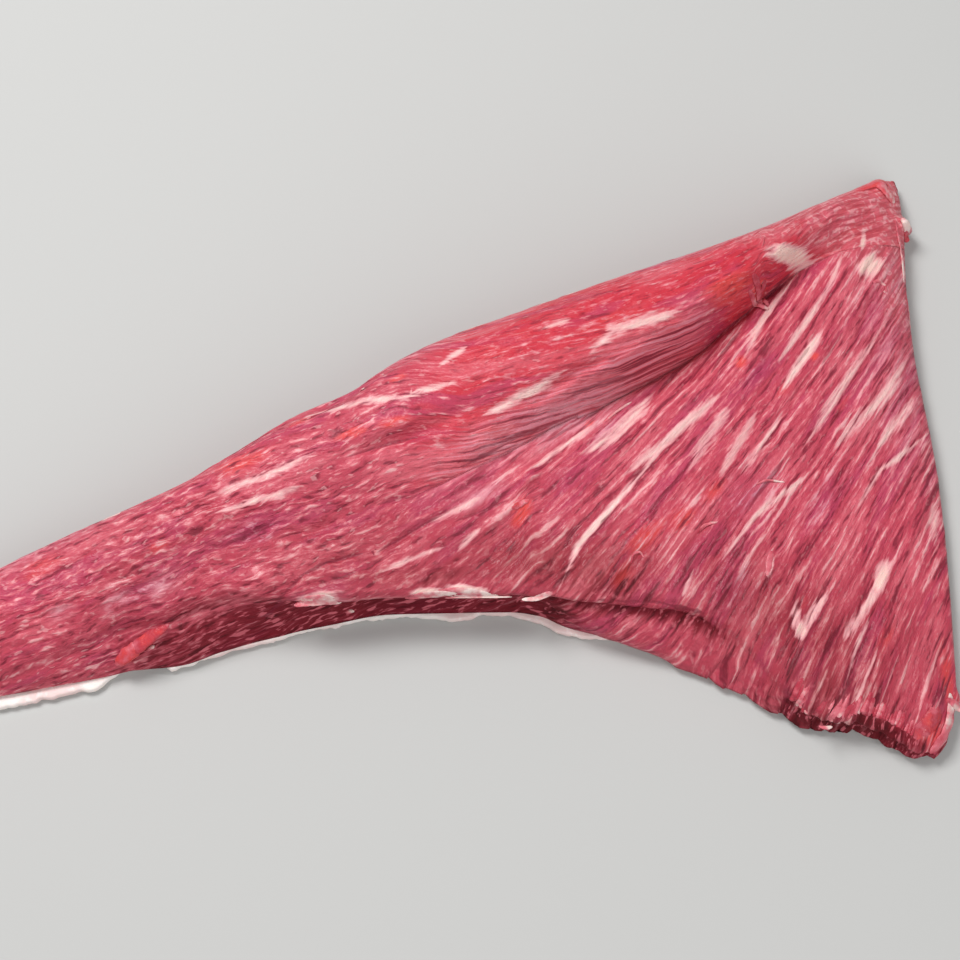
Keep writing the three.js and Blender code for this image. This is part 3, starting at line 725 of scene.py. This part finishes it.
def finish_material(tree, shader, color, bump, roughness, under_surface):
    """Links colour, relief and roughness to the shader, and lets light spread under the surface: bump is
    a height, its distance in metres and its strength, under_surface the share and reach of the light."""
    height, distance, strength = bump
    relief = put(tree, "Bump", {"Height": height, "Distance": distance, "Strength": strength})
    tree.links.new(color, shader.inputs["Base Color"])
    tree.links.new(relief.outputs[0], shader.inputs["Normal"])
    tree.links.new(roughness, shader.inputs["Roughness"])
    shader.inputs["Subsurface Weight"].default_value = under_surface[0]
    shader.inputs["Subsurface Radius"].default_value = under_surface[1:]
    shader.inputs["Subsurface Scale"].default_value = 1.0


def make_strand_group():
    """Noise stretched along the fibres."""
    group = bpy.data.node_groups.new("strands", "ShaderNodeTree")
    group.interface.new_socket("Place", in_out="INPUT", socket_type="NodeSocketVector")
    for name in ("Length", "Width", "Detail", "Seed"):
        group.interface.new_socket(name, in_out="INPUT", socket_type="NodeSocketFloat")
    group.interface.new_socket("Value", in_out="OUTPUT", socket_type="NodeSocketFloat")
    given = group.nodes.new("NodeGroupInput").outputs
    result = group.nodes.new("NodeGroupOutput").inputs
    along, across, _ = put(group, "SeparateXYZ", {0: given["Place"]}).outputs
    stretched = {
        0: maths(group, "DIVIDE", along, given["Length"]),
        1: maths(group, "DIVIDE", across, given["Width"]),
        2: given["Seed"],
    }
    vector = put(group, "CombineXYZ", stretched).outputs[0]
    noise = put(group, "TexNoise", {"Vector": vector, "Scale": 1.0, "Detail": given["Detail"]})
    group.links.new(noise.outputs["Fac"], result["Value"])
    return group


strand_group = make_strand_group()


def strands(tree, place, length, width, seed, detail=2.0):
    """The strand noise at one size, in metres."""
    inputs = {"Place": place, "Length": length, "Width": width, "Detail": detail, "Seed": seed}
    return put(tree, "Group", inputs, node_tree=strand_group).outputs["Value"]


def plain_noise(tree, place, scale, detail, roughness=0.5):
    """Noise of the same size in all directions: scale is how many of its waves go into a metre."""
    inputs = {"Vector": place, "Scale": scale, "Detail": detail, "Roughness": roughness}
    return put(tree, "TexNoise", inputs).outputs["Fac"]


def swayed(tree, along, across, amount):
    """The fibre's coordinates pushed sideways by slower noise, by half the amount at most."""
    slow = put(tree, "CombineXYZ", {0: times(tree, along, 0.5), 1: across}).outputs[0]
    pushed = swung(tree, plain_noise(tree, slow, 130.0, 3.0, 0.6), amount, across)
    return put(tree, "CombineXYZ", {0: along, 1: pushed}).outputs[0]


DEEP_RED = (0.19, 0.012, 0.03, 1)
FLESH = (0.49, 0.056, 0.092, 1)
MAUVE_FLESH = (0.46, 0.05, 0.11, 1)
ROLL_FLESH = (0.57, 0.036, 0.058, 1)
PINK_FLESH = (0.68, 0.148, 0.188, 1)
MARBLING = (0.78, 0.36, 0.38, 1)
SEAM_FAT = (0.82, 0.55, 0.51, 1)
BLOOD = (0.74, 0.070, 0.062, 1)
MEMBRANE_AND_SHEEN = (0.70, 0.31, 0.37, 1)
PURPLE_STAIN = (0.62, 0.42, 0.78, 1)
SHADED = (0.38, 0.12, 0.18, 1)
BRIGHT_STRIPE = (0.74, 0.26, 0.33, 1)
DUSK_SHADE = (0.60, 0.49, 0.47, 1)
END_GRAIN = (0.50, 0.075, 0.098, 1)
PATCH_FAT = (0.84, 0.56, 0.50, 1)


def line_inside(tree, name, waver):
    """How far inside the nearest stored line a place is, in half widths: 1 - along^4 less the distance
    aside, plus a number that frays the edge; and the line's strength. It is -1 far from every line."""
    aside, along, strength = parts_of(tree, name)
    taper = maths(tree, "SUBTRACT", 1.0, maths(tree, "POWER", maths(tree, "ABSOLUTE", along), 4.0))
    inside = maths(tree, "ADD", maths(tree, "SUBTRACT", taper, maths(tree, "ABSOLUTE", aside)), waver)
    return between(tree, band(tree, strength, 0.0, 0.3), -1.0, inside), strength


def make_lean_material():
    """Red flesh in long strands, marbled along them, with seams of fat, cracks, blood and thin skin. It has
    painted shade in grooves, cracks, undercut and wall, painted light on the roll's flank and a painted
    sheen along the far edge.
    """
    material, tree, shader = new_material("raw_lean")
    along, across, flank = parts_of(tree, "grain")
    fan, on_roll, painted_shade = parts_of(tree, "zones_and_shade")
    drawn_out = maths(tree, "MAXIMUM", fan, times(tree, on_roll, 0.5))
    smoother = maths(tree, "MAXIMUM", fan, on_roll)
    grain = swayed(tree, along, across, between(tree, smoother, 0.0045, 0.0018))
    pale, blood, membrane_and_sheen = parts_of(tree, "marks")
    purple, cut_across, dusk_shade = parts_of(tree, "tones_and_shade")

    tone = strands(tree, grain, 0.040, 0.008, 1.0, 3.0)
    bundles = strands(tree, grain, 0.034, 0.0040, 2.0)
    long_streaks = strands(tree, grain, 0.032, 0.0023, 3.0)
    streaks = between(tree, drawn_out, strands(tree, grain, 0.013, 0.0020, 9.0), long_streaks)
    long_threads = strands(tree, grain, 0.0145, 0.0015, 4.0)
    threads = between(tree, drawn_out, strands(tree, grain, 0.0056, 0.0014, 5.0), long_threads)
    flecks = strands(tree, grain, 0.0038, 0.0013, 6.0)
    hairs = strands(tree, grain, 0.0034, 0.0009, 10.0)
    sparse = strands(tree, grain, 0.050, 0.030, 8.0)
    place = put(tree, "TexCoord").outputs["Object"]
    grit = plain_noise(tree, place, 700.0, 3.0)

    crest = times(tree, bundles, between(tree, fan, 0.08, 0.2))
    crest = maths(tree, "MULTIPLY_ADD", streaks, between(tree, fan, 0.3, 0.34), crest)
    crest = maths(tree, "MULTIPLY_ADD", threads, between(tree, fan, 0.42, 0.3), crest)
    crest = maths(tree, "MULTIPLY_ADD", hairs, between(tree, fan, 0.2, 0.16), crest)
    crest = swung(tree, crest, between(tree, smoother, 0.9, 1.15), 0.5)
    lifted = maths(tree, "SUBTRACT", swung(tree, sparse, 0.12, crest), between(tree, on_roll, 0.0, 0.016))

    color = blend(tree, on_roll, FLESH, ROLL_FLESH)
    color = blend(tree, band(tree, tone, 0.5, 0.38, 0.0, 0.7), color, MAUVE_FLESH)
    color = blend(tree, band(tree, tone, 0.5, 0.66, 0.0, 0.45), color, PINK_FLESH)
    loose_blood = swung(tree, streaks, 1.2, blood)
    color = blend(tree, band(tree, loose_blood, 0.2, 0.95, 0.0, 0.85), color, BLOOD)
    # Painted shade in the valleys between strands: the low parts of the strand relief are darkened towards
    # deep red.
    gap = times(tree, band(tree, crest, 0.48, 0.40), between(tree, on_roll, 0.8, 0.55))
    color = blend(tree, gap, color, DEEP_RED)
    color = blend(tree, band(tree, lifted, 0.505, 0.56, 0.0, 0.7), color, PINK_FLESH)
    color = blend(tree, band(tree, lifted, 0.55, 0.61, 0.0, 0.85), color, MARBLING)
    color = blend(tree, band(tree, lifted, 0.61, 0.67, 0.0, 0.5), color, SEAM_FAT)
    fleck_share = maths(tree, "SUBTRACT", 0.5, times(tree, drawn_out, 0.3))
    fleck_share = times(tree, fleck_share, band(tree, flecks, 0.60, 0.68))
    color = blend(tree, fleck_share, color, MARBLING)

    stripes = strands(tree, grain, 0.045, 0.0014, 11.0)
    # Painted light: the roll's flank over the crease, which faces away from the window light, is made
    # pinker and lighter.
    color = blend(tree, times(tree, flank, 0.7), color, PINK_FLESH)
    low_stripe = times(tree, band(tree, stripes, 0.49, 0.40, 0.0, 0.9), flank)
    high_stripe = times(tree, band(tree, stripes, 0.52, 0.60, 0.0, 0.8), flank)
    color = blend(tree, low_stripe, color, DEEP_RED)
    color = blend(tree, high_stripe, color, BRIGHT_STRIPE)

    curls = plain_noise(tree, place, 320.0, 1.0)
    from_middle = maths(tree, "ABSOLUTE", maths(tree, "SUBTRACT", curls, 0.5))
    broken = band(tree, threads, 0.42, 0.60, 0.0, 0.7)
    net = times(tree, band(tree, from_middle, 0.10, 0.02), broken)
    cut = swung(tree, sparse, 1.5, cut_across)
    cut = band(tree, cut, 0.2, 0.7)
    ends = blend(tree, band(tree, threads, 0.40, 0.62), END_GRAIN, PINK_FLESH)
    color = blend(tree, times(tree, cut, 0.75), color, ends)
    color = blend(tree, times(tree, net, cut), color, MARBLING)

    stained = swung(tree, streaks, 1.0, purple)
    color = blend(tree, band(tree, stained, 0.2, 1.0, 0.0, 0.5), color, PURPLE_STAIN, "MULTIPLY")
    # Silver-pink membrane, and a painted sheen of the same pink along the far edge.
    silver_and_sheen = times(tree, membrane_and_sheen, band(tree, crest, 0.44, 0.56, 0.1, 0.9))
    color = blend(tree, silver_and_sheen, color, MEMBRANE_AND_SHEEN)
    # Painted shade: the colour is multiplied duller where less light falls on the fan's lower part and the
    # near edge.
    color = blend(tree, dusk_shade, color, DUSK_SHADE, "MULTIPLY")

    # Painted shade on the wall and near the undercut: the colour is multiplied towards shaded red, broken
    # by the threads, with pink fibre ends over it, and towards deep red where it is darkest.
    speckled_shade = swung(tree, threads, -1.6, painted_shade)
    color = blend(tree, band(tree, speckled_shade, 0.1, 0.9), color, SHADED, "MULTIPLY")
    dark_flecks = times(tree, band(tree, flecks, 0.54, 0.64, 0.0, 0.7), painted_shade)
    color = blend(tree, dark_flecks, color, PINK_FLESH)
    color = blend(tree, band(tree, painted_shade, 1.0, 1.5, 0.0, 0.9), color, DEEP_RED, "MULTIPLY")

    fray = swung(tree, crest, 7.0)
    fray = swung(tree, bundles, 1.5, fray)
    for name in ("seams_a", "seams_b"):
        inside, strength = line_inside(tree, name, fray)
        soft = times(tree, band(tree, inside, -0.5, 0.5), between(tree, strength, 0.5, 0.9))
        color = blend(tree, soft, color, MARBLING)
        white = times(tree, band(tree, inside, 0.2, 1.2), strength)
        color = blend(tree, white, color, SEAM_FAT)
    patch = maths(tree, "MULTIPLY_ADD", fray, 0.35, pale)
    color = blend(tree, band(tree, patch, 0.25, 0.6, 0.0, 0.9), color, MARBLING)
    color = blend(tree, band(tree, patch, 0.5, 0.9, 0.0, 0.9), color, PATCH_FAT)
    # Painted shade in the cracks: they are darkened towards deep red.
    crack, crack_strength = line_inside(tree, "cracks", times(tree, fray, 0.6))
    crack_shade = times(tree, band(tree, crack, 0.3, 0.8), crack_strength)
    color = blend(tree, times(tree, crack_shade, 0.8), color, DEEP_RED)

    height = maths(tree, "MULTIPLY_ADD", flecks, 0.3, crest)
    height = maths(tree, "MULTIPLY_ADD", grit, 0.15, height)
    dullness = maths(tree, "MULTIPLY_ADD", painted_shade, 0.35, band(tree, threads, 0.35, 0.65, 0.48, 0.32))
    finish_material(tree, shader, color, (height, 0.0022, 0.7), dullness, (0.06, 0.004, 0.0012, 0.0008))
    shader.inputs["Specular IOR Level"].default_value = 0.22
    return material


lean_top, lean_rings, face_strands, wall_strands, wall_shade = lean_surface()
lean_mesh = closed_mesh("lean_meat_surface", lean_top, lean_rings)
px, py, _ = np.concatenate([lean_top.reshape(-1, 3), lean_rings.reshape(-1, 3)]).T
fibres = np.concatenate([face_strands.reshape(-1, 2), wall_strands.reshape(-1, 2)]) * MM
# Painted shade: from the dark patches on the face, and the wall's own painted shade.
shade_amount = np.concatenate([mounds(*lean_top.reshape(-1, 3).T[:2], SHADE_PATCHES), wall_shade.ravel()])
add_vectors(lean_mesh, "grain", fibres[:, 0], fibres[:, 1], flank_share(px, py))
add_vectors(lean_mesh, "zones_and_shade", fan_share(px, py), roll_share(px, py), shade_amount)
below_rim = np.repeat(np.linspace(0, 1, WALL_RINGS + 1)[1:], lean_rings.shape[1])
on_face = np.concatenate([np.ones(face_strands[..., 0].size), smooth(1 - below_rim / 0.2)])
marks = [mounds(px, py, patches) for patches in (PALE_PATCHES, BLOOD_SPOTS, MEMBRANE_AND_SHEEN_PATCHES)]
add_vectors(lean_mesh, "marks", *np.array(marks) * on_face)
tones_and_shade = [mounds(px, py, patches) for patches in (PURPLE_PATCHES, CUT_ACROSS_PATCHES, DUSK_SHADE_PATCHES)]
add_vectors(lean_mesh, "tones_and_shade", tones_and_shade[0] * on_face, tones_and_shade[1], tones_and_shade[2])
for name, lines in (("seams_a", SEAMS[::2]), ("seams_b", SEAMS[1::2])):
    aside, along_line, whiteness = nearest_line(px, py, lines)
    add_vectors(lean_mesh, name, aside, along_line, whiteness * on_face)
crack_lines = [(0, shade, *places) for _, shade, *places in CRACKS]
add_vectors(lean_mesh, "cracks", *nearest_line(px, py, crack_lines, CRACK_WIDTH))
lean = add_piece(lean_mesh, make_lean_material())
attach(lean, "root")
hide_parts("lean_meat")

# ---- Fat cap -------------------------------------------------------------------------------------
# A sheet of firm white fat that covers the underside, left on by the butcher. It is a few millimetres
# thick, and its torn rim shows beyond the lean along the near side.

FAT_NEAR_REACH = [
    (-158, 1.5), (-131, 4.3), (-115, 3.6), (-102, 3.3), (-96, 0.5), (-86, -1.5), (-80, -1.5),
    (-76, 1.2), (-66, 1.4), (-47, 0.9), (-28, 0.7), (-9, 0.9), (5, 0.9), (13, 2.1), (18, 2.1),
    (23, 0.6), (40, 1), (49, 1.7), (57, 0.7), (66, -1.5), (80, -3), (161, -4),
]
FAT_WIDE_REACH = -2.5
FAT_FAR_REACH = -2
FAT_NOSE_REACH = -1
FAT_EDGE = 0.9
FAT_TORN_RIM = [(0.45, 3.1, 21), (0.25, 1.1, 22)]
FAT_ALONG, FAT_ACROSS = 420, 40
FAT_ROUNDING_STEPS = 6


def fat_surface():
    """A flat sheet between the same two edges, moved out or in by its reach, whose rim is torn by value
    noise and rounded by rings on a half circle."""
    a, b = np.meshgrid(crowded(FAT_ALONG), crowded(FAT_ACROSS), indexing="ij")
    station = mix(TAIL_X, WIDE_X, a)
    further = torn(station, FAT_TORN_RIM)
    near = near_edge(station) - through(FAT_NEAR_REACH)(station) - further + FAT_EDGE
    y = mix(near, far_edge(station) + FAT_FAR_REACH + further - FAT_EDGE, b)
    nose, wide = ends_at(b, TAIL_NOSE + FAT_NOSE_REACH - FAT_EDGE)
    x = mix(nose, wide + FAT_WIDE_REACH - FAT_EDGE, a)
    top = np.stack([x, y, np.full(x.shape, FAT_THICKNESS)], -1)
    loop = rim_of(top)
    turn = np.linspace(0.5, -0.5, FAT_ROUNDING_STEPS + 1)[1:, None, None] * np.pi
    place = loop[:, :2] + outwards(loop) * FAT_EDGE * np.cos(turn)
    level = np.broadcast_to(FAT_THICKNESS / 2 * (1 + np.sin(turn)), place.shape[:2] + (1,))
    return top, np.concatenate([place, level], -1)


def make_fat_material():
    """Cream-white fat, pinker where it is thin, with fine cracks and a satin surface."""
    material, tree, shader = new_material("raw_fat")
    place = put(tree, "TexCoord").outputs["Object"]
    slow = plain_noise(tree, place, 45.0, 3.0)
    fine = plain_noise(tree, place, 420.0, 3.0)
    color = blend(tree, band(tree, slow, 0.42, 0.62), (0.92, 0.82, 0.78, 1), (0.85, 0.64, 0.62, 1))
    color = blend(tree, band(tree, fine, 0.5, 0.75, 0.0, 0.6), color, (0.96, 0.92, 0.89, 1))
    dullness = band(tree, fine, 0.3, 0.7, 0.4, 0.55)
    finish_material(tree, shader, color, (fine, 0.0008, 0.4), dullness, (0.1, 0.003, 0.002, 0.0015))
    return material


fat = add_piece(closed_mesh("fat_cap_sheet", *fat_surface()), make_fat_material())
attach(fat, "root")
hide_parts("fat_cap")

# ---- Shreds --------------------------------------------------------------------------------------
# Small shreds of fibre, membrane and fat that the knife tore and left on the face, in the crease and
# along the edges. They hang on the lean by one end or lie stuck to it.

# Half width, thickness, paleness, blood, then the places that the middle line runs through: x, y and
# height, over the face in the first list and over the table in the second.
FACE_SHREDS = [
    (1.3, 1.2, 0.4, 0.3, (108.2, 51.8, -0.3), (110.2, 49.8, 0.6), (111.8, 48.2, 0.9), (112.6, 46.6, 0)),
    (1.0, 1.0, 0.3, 0.4, (113.6, 52.4, -0.3), (112.8, 50, 0.8), (113.6, 48, 0.7), (115, 46.6, 0)),
    (0.7, 0.8, 0.7, 0.1, (107.2, 47.6, 0), (110, 46.9, 0.9), (112.6, 45.6, 1.1), (115.2, 45.2, 0)),
    (0.6, 0.5, 0.9, 0, (150.4, 56.2, -0.2), (153, 57.2, 0.1), (155.6, 56.2, -0.1)),
    (0.45, 0.5, 0.8, 0, (155.4, 56.6, -0.1), (155.6, 54.8, 0.1), (154.2, 53.6, -0.2)),
    (0.35, 0.5, 0.6, 0, (67.2, -42.8, 0), (67.8, -40.2, 0.3), (69.9, -39.2, 0.4), (71.4, -41, 0)),
    (0.35, 0.5, 0.7, 0, (107.5, -16.4, 0), (112, -14.8, 0.5), (117, -15.2, 0)),
    (1.0, 0.7, 0.6, 0, (112.4, -36.8, -0.4), (111, -41, -0.1), (109.6, -47.4, -0.4)),
    (0.7, 0.7, 0.9, 0, (-18.4, 11.2, 0), (-17.4, 11.7, 0.3), (-16.6, 12, 0)),
    (0.6, 0.7, 0.9, 0, (-12, 16.4, 0), (-11.2, 16.8, 0.3), (-10.4, 17, 0)),
    (1.1, 0.8, 0.8, 0, (-76, -30, -0.1), (-74, -29, 0.2), (-72, -28.2, -0.1)),
    (0.9, 0.9, 0.6, 0.4, (29.8, -26, -0.2), (32.6, -24.4, 0.2), (35.6, -22.6, -0.2)),
    (1.2, 0.5, 0.9, 0, (-38, -55.6, -0.3), (-33, -54.9, 0), (-28, -54.6, 0), (-23, -54.6, -0.3)),
    (0.6, 0.4, 1.2, 0, (-3.5, -53.4, -0.2), (3, -52.8, 0), (9, -52.4, 0), (14, -52.6, -0.2)),
    (0.7, 0.4, 1.1, 0, (5, -51.8, -0.2), (12, -51.6, 0), (18, -52, 0), (26, -52.8, -0.2)),
    (0.35, 0.4, 1.3, 0, (9, -53.3, -0.1), (18, -53.1, 0.1), (30, -53, -0.1)),
    (0.8, 0.4, 1.1, 0, (44, -50.4, -0.3), (41, -52.4, -0.1), (37, -53.6, -0.1), (33, -53.8, -0.3)),
    (0.4, 0.6, 1.0, 0, (-100.5, -29, 0), (-97, -27.2, 0.2), (-93.5, -25.4, 0)),
    (2.6, 1.3, 0.5, 0.5, (146, 92.4, -0.5), (151, 94.8, 0.3), (156, 97, 0.5), (160.6, 98.6, 0)),
    (2.2, 1.3, 0.6, 0.5, (153, 97, -0.1), (156, 95, 0.5), (159, 92.4, 0.6), (161.6, 89.4, -0.1)),
    (1.4, 1.0, 0.7, 0.4, (156.6, 98, 0), (160, 96.4, 0.5), (163, 93.4, 0)),
    (1.7, 2.2, 2.0, 0, (163.8, 83.8, 0), (165, 81.8, 0.5), (165.8, 79.4, 0)),
    (1.1, 1.4, 0.2, 0.5, (165.4, 80.4, 0), (166, 79, 0.2), (166.2, 77.4, 0)),
    (0.5, 0.7, 1.0, 0, (161, 82.4, 0), (162.3, 75, 0.2), (163.1, 67, 0.2), (163.2, 60.5, 0)),
    (0.35, 0.6, 0.6, 0, (163.4, 58, 0), (164.3, 50, 0.2), (164.5, 44, 0)),
    (2.8, 0.5, 0.1, 0.45, (151.5, -96, -0.8), (156, -93.5, 0), (160, -89, 0), (163.5, -83, -0.5)),
    (1.5, 1.0, 0.8, 0.1, (159.5, -99.5, -0.3), (163.6, -94.5, 0.3), (166.4, -88.5, 0.4), (167, -80, -0.3)),
    (1.3, 1.5, 0.8, 0, (164.8, -83.4, -0.2), (168, -84.2, 0.4), (170.4, -86, 0)),
    (0.6, 0.7, 1.0, 0, (124.8, -91.8, 0), (127, -92.4, 0.3), (129, -92, 0)),
    (0.5, 0.6, 0.6, 0.2, (88, -33, -0.1), (91, -30.2, 0.4), (95, -29, -0.1)),
    (0.4, 0.5, 0.8, 0, (59, 3, -0.1), (63.5, 7.4, 0.2), (69, 11.6, -0.1)),
    (0.7, 0.5, 1.3, 0, (34, 42.6, 0), (39, 44.8, 0.2), (44, 46.4, 0)),
    (0.6, 0.5, 1.3, 0, (45.5, 46.8, 0), (49, 48.2, 0.2), (52.5, 49.4, 0)),
    (0.5, 0.5, 1.1, 0, (10.5, 32.8, 0), (16, 35.6, 0.2), (22, 38.2, 0)),
]
TABLE_SHREDS = [
    (2.5, 2.2, 0.1, 0.45, (-94.6, -70.6, 6.6), (-89.5, -67.6, 10.4), (-84, -64.4, 13.4), (-77, -60.6, 16)),
    (2.9, 2.8, 0.15, 0.6, (-95.4, -70.8, 6.4), (-91.4, -68.8, 9.2), (-86.6, -65.8, 11.6)),
    (0.6, 0.8, 1.2, 0, (-84.6, -67.6, 10.4), (-83.2, -67, 11.2), (-82, -66.4, 11.4)),
    (0.6, 0.9, 1.0, 0, (-23, -54, 6), (-21.5, -53.8, 6.5), (-20, -53.6, 6)),
]
SHRED_STEPS, SHRED_SIDES = 28, 12
SHRED_RED = (0.43, 0.035, 0.062, 1)
SHRED_WHITE = (0.86, 0.64, 0.60, 1)


def shred_mesh(name, face_shreds, table_shreds=()):
    """Closed straps. Each is a row of ellipses along a smooth line, which shrink by (1 - |2t - 1|^3)^0.5 to
    a point at both ends and are uneven by value noise."""
    steps = (1 - np.cos(np.pi * np.arange(SHRED_STEPS + 1) / SHRED_STEPS))[:, None] / 2
    turn = 2 * np.pi * np.arange(SHRED_SIDES) / SHRED_SIDES
    size = np.sqrt(np.clip(1 - np.abs(2 * steps - 1) ** 3, 0, 1))
    straps, tints = [], []
    for number, shred in enumerate([*face_shreds, *table_shreds]):
        half_width, thickness, paleness, blood, *places = shred
        shares = np.linspace(0, 1, len(places))
        line = [through(list(zip(shares, column)))(steps) for column in zip(*places)]
        slope_x, slope_y = np.gradient(line[0], axis=0), np.gradient(line[1], axis=0)
        length = np.hypot(slope_x, slope_y) + 1e-9
        uneven = 1 + 0.25 * unevenness(6 * steps + 13 * number, 1.5 * np.cos(turn), 31)
        uneven += 0.15 * unevenness(17 * steps + 13 * number, 2.5 * np.cos(turn), 32)
        aside = half_width * size * uneven * np.cos(turn)
        up = thickness / 2 * size * uneven * np.sin(turn)
        strap = [line[0] - slope_y / length * aside, line[1] + slope_x / length * aside, line[2] + up]
        straps.append(np.stack(strap, -1))
        tint = np.stack([paleness * (0.3 + 0.7 * steps), blood + 0 * steps, 0 * steps], -1)
        tints.append(np.broadcast_to(tint, strap[0].shape + (3,)))
    straps, tints = np.array(straps), np.array(tints)
    x, y, height = np.moveaxis(straps[: len(face_shreds)], -1, 0)
    height += level_at(x.ravel(), y.ravel()).reshape(x.shape)

    ring = np.arange((SHRED_STEPS - 1) * SHRED_SIDES).reshape(-1, SHRED_SIDES)
    after = np.roll(ring, -1, 1)
    quads = np.stack([ring[:-1], after[:-1], after[1:], ring[1:]], -1).reshape(-1, 4)
    first, last = ring.size, ring.size + 1
    fans = [(first, b, a) for a, b in zip(ring[0], after[0])]
    fans += [(last, a, b) for a, b in zip(ring[-1], after[-1])]
    points = [np.concatenate([s[1:-1].reshape(-1, 3), s[0, :1], s[-1, :1]]) for s in straps]
    colors = [np.concatenate([s[1:-1].reshape(-1, 3), s[0, :1], s[-1, :1]]) for s in tints]
    faces = []
    for start in np.arange(len(straps)) * (ring.size + 2):
        faces += (quads + start).tolist() + (np.array(fans) + start).tolist()
    mesh = bpy.data.meshes.new(name)
    mesh.from_pydata((np.concatenate(points) * MM).tolist(), [], faces)
    mesh.shade_smooth()
    add_vectors(mesh, "tint", *np.concatenate(colors).T)
    return mesh


def make_shred_material():
    """Wet torn tissue, between red, pink and cream-white as each shred stores it, with bloody places. It
    is redder where it grows out of the lean."""
    material, tree, shader = new_material("torn_tissue")
    place = put(tree, "TexCoord").outputs["Object"]
    slow = plain_noise(tree, place, 260.0, 3.0)
    fine = plain_noise(tree, place, 1100.0, 2.0)
    paleness, blood, _ = parts_of(tree, "tint")
    pale = swung(tree, slow, 1.6, paleness)
    color = blend(tree, band(tree, pale, 0.0, 0.5), SHRED_RED, PINK_FLESH)
    color = blend(tree, band(tree, pale, 0.45, 1.0), color, SHRED_WHITE)
    bloody = swung(tree, slow, -1.2, blood)
    color = blend(tree, band(tree, bloody, 0.3, 0.9, 0.0, 0.85), color, BLOOD)
    dullness = band(tree, fine, 0.3, 0.7, 0.3, 0.5)
    finish_material(tree, shader, color, (fine, 0.0005, 0.5), dullness, (0.1, 0.003, 0.0012, 0.0009))
    shader.inputs["Specular IOR Level"].default_value = 0.3
    return material


shred_material = make_shred_material()
shreds = add_piece(shred_mesh("shreds", FACE_SHREDS, TABLE_SHREDS), shred_material)
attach(shreds, "root")

# ---- Fibre ends ----------------------------------------------------------------------------------
# Cut ends of fibre bundles along the near edge, close to the wide side. Each is still part of the face
# and ends in a rounded tip that droops over the edge, or stops short of it above the dark undercut.

FRINGE_FROM, FRINGE_TO, FRINGE_COUNT = 117, 153, 40
FRINGE_RETREAT = 4.5
# The least and the most of each end: half width, length, reach past the edge, paleness, droop.
FRINGE_LEAST = (0.4, 8.0, 0.0, -0.3, 0.3)
FRINGE_MOST = (1.1, 15.0, 1.6, 0.8, 1.6)
dice = np.random.default_rng(5)


def fringe_ends():
    """Shreds side by side: each starts on the face and follows the fibres out over the edge, or stops
    short of it near the wide side's end."""
    ends = []
    for x in np.linspace(FRINGE_FROM, FRINGE_TO, FRINGE_COUNT):
        half_width, length, beyond, paleness, droop = dice.uniform(FRINGE_LEAST, FRINGE_MOST)
        y = near_edge(x) + lip_inset(x) + FRINGE_RETREAT * smooth((x - 128) / 14) * smooth((162 - x) / 12)
        angle = fibre_angle(np.array([x]), np.array([y]), FAN_GRAIN)[0]
        c, s = np.cos(angle), np.sin(angle)
        inner = length - beyond
        places = [
            (x + inner * c, y + inner * s, -1.8),
            (x + 0.5 * inner * c, y + 0.5 * inner * s, -0.7),
            (x, y, 0),
            (x - beyond * c, y - beyond * s, -droop),
        ]
        ends.append((half_width, 1.4 * half_width, paleness, 0.1, *places))
    return ends


fringe = add_piece(shred_mesh("fibre_ends", fringe_ends()), shred_material)
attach(fringe, "root")

# ---- Floor, light and camera ---------------------------------------------------------------------
# A plain pale floor under the steak, one broad soft light from behind on the left, a weaker one in
# front, and a camera that looks down at 70 degrees.

FLOOR_SIZE = 4.0
CAMERA_ELEVATION = 70
CAMERA_DISTANCE = 0.616
CAMERA_TARGET = (0.020, -0.007, 0.0)
CAMERA_LENS = 70


def make_floor():
    """A square of matt off-white."""
    half = FLOOR_SIZE / 2
    mesh = bpy.data.meshes.new("floor")
    corners = [(-half, -half, 0), (half, -half, 0), (half, half, 0), (-half, half, 0)]
    mesh.from_pydata(corners, [], [(0, 1, 2, 3)])
    material, _, shader = new_material("floor")
    shader.inputs["Base Color"].default_value = (0.5, 0.5, 0.49, 1)
    shader.inputs["Roughness"].default_value = 0.9
    return add_piece(mesh, material)


def add_light(name, place, size, power):
    """A square lamp that faces the middle of the steak."""
    lamp = bpy.data.lights.new(name, "AREA")
    lamp.size = size
    lamp.energy = power
    light = bpy.data.objects.new(name, lamp)
    bpy.context.scene.collection.objects.link(light)
    light.location = place
    light.rotation_euler = light.location.to_track_quat("Z", "Y").to_euler()
    return light


make_floor()
add_light("window_light", (-0.50, 0.48, 1.15), 0.5, 16)
add_light("front_light", (0.5, -0.9, 0.9), 1.2, 7.5)

world = bpy.data.worlds.new("studio")
world.use_nodes = True
world.node_tree.nodes["Background"].inputs["Color"].default_value = (1, 1, 1, 1)
world.node_tree.nodes["Background"].inputs["Strength"].default_value = 0.35
bpy.context.scene.world = world
bpy.context.scene.view_settings.view_transform = "Standard"

camera_data = bpy.data.cameras.new("camera")
camera_data.lens = CAMERA_LENS
camera_data.sensor_width = 36
camera = bpy.data.objects.new("camera", camera_data)
bpy.context.scene.collection.objects.link(camera)
tilt = np.radians(CAMERA_ELEVATION)
camera.location = np.array(CAMERA_TARGET) + CAMERA_DISTANCE * np.array([0, -np.cos(tilt), np.sin(tilt)])
camera.rotation_euler = (np.pi / 2 - tilt, 0, 0)
bpy.context.scene.camera = camera
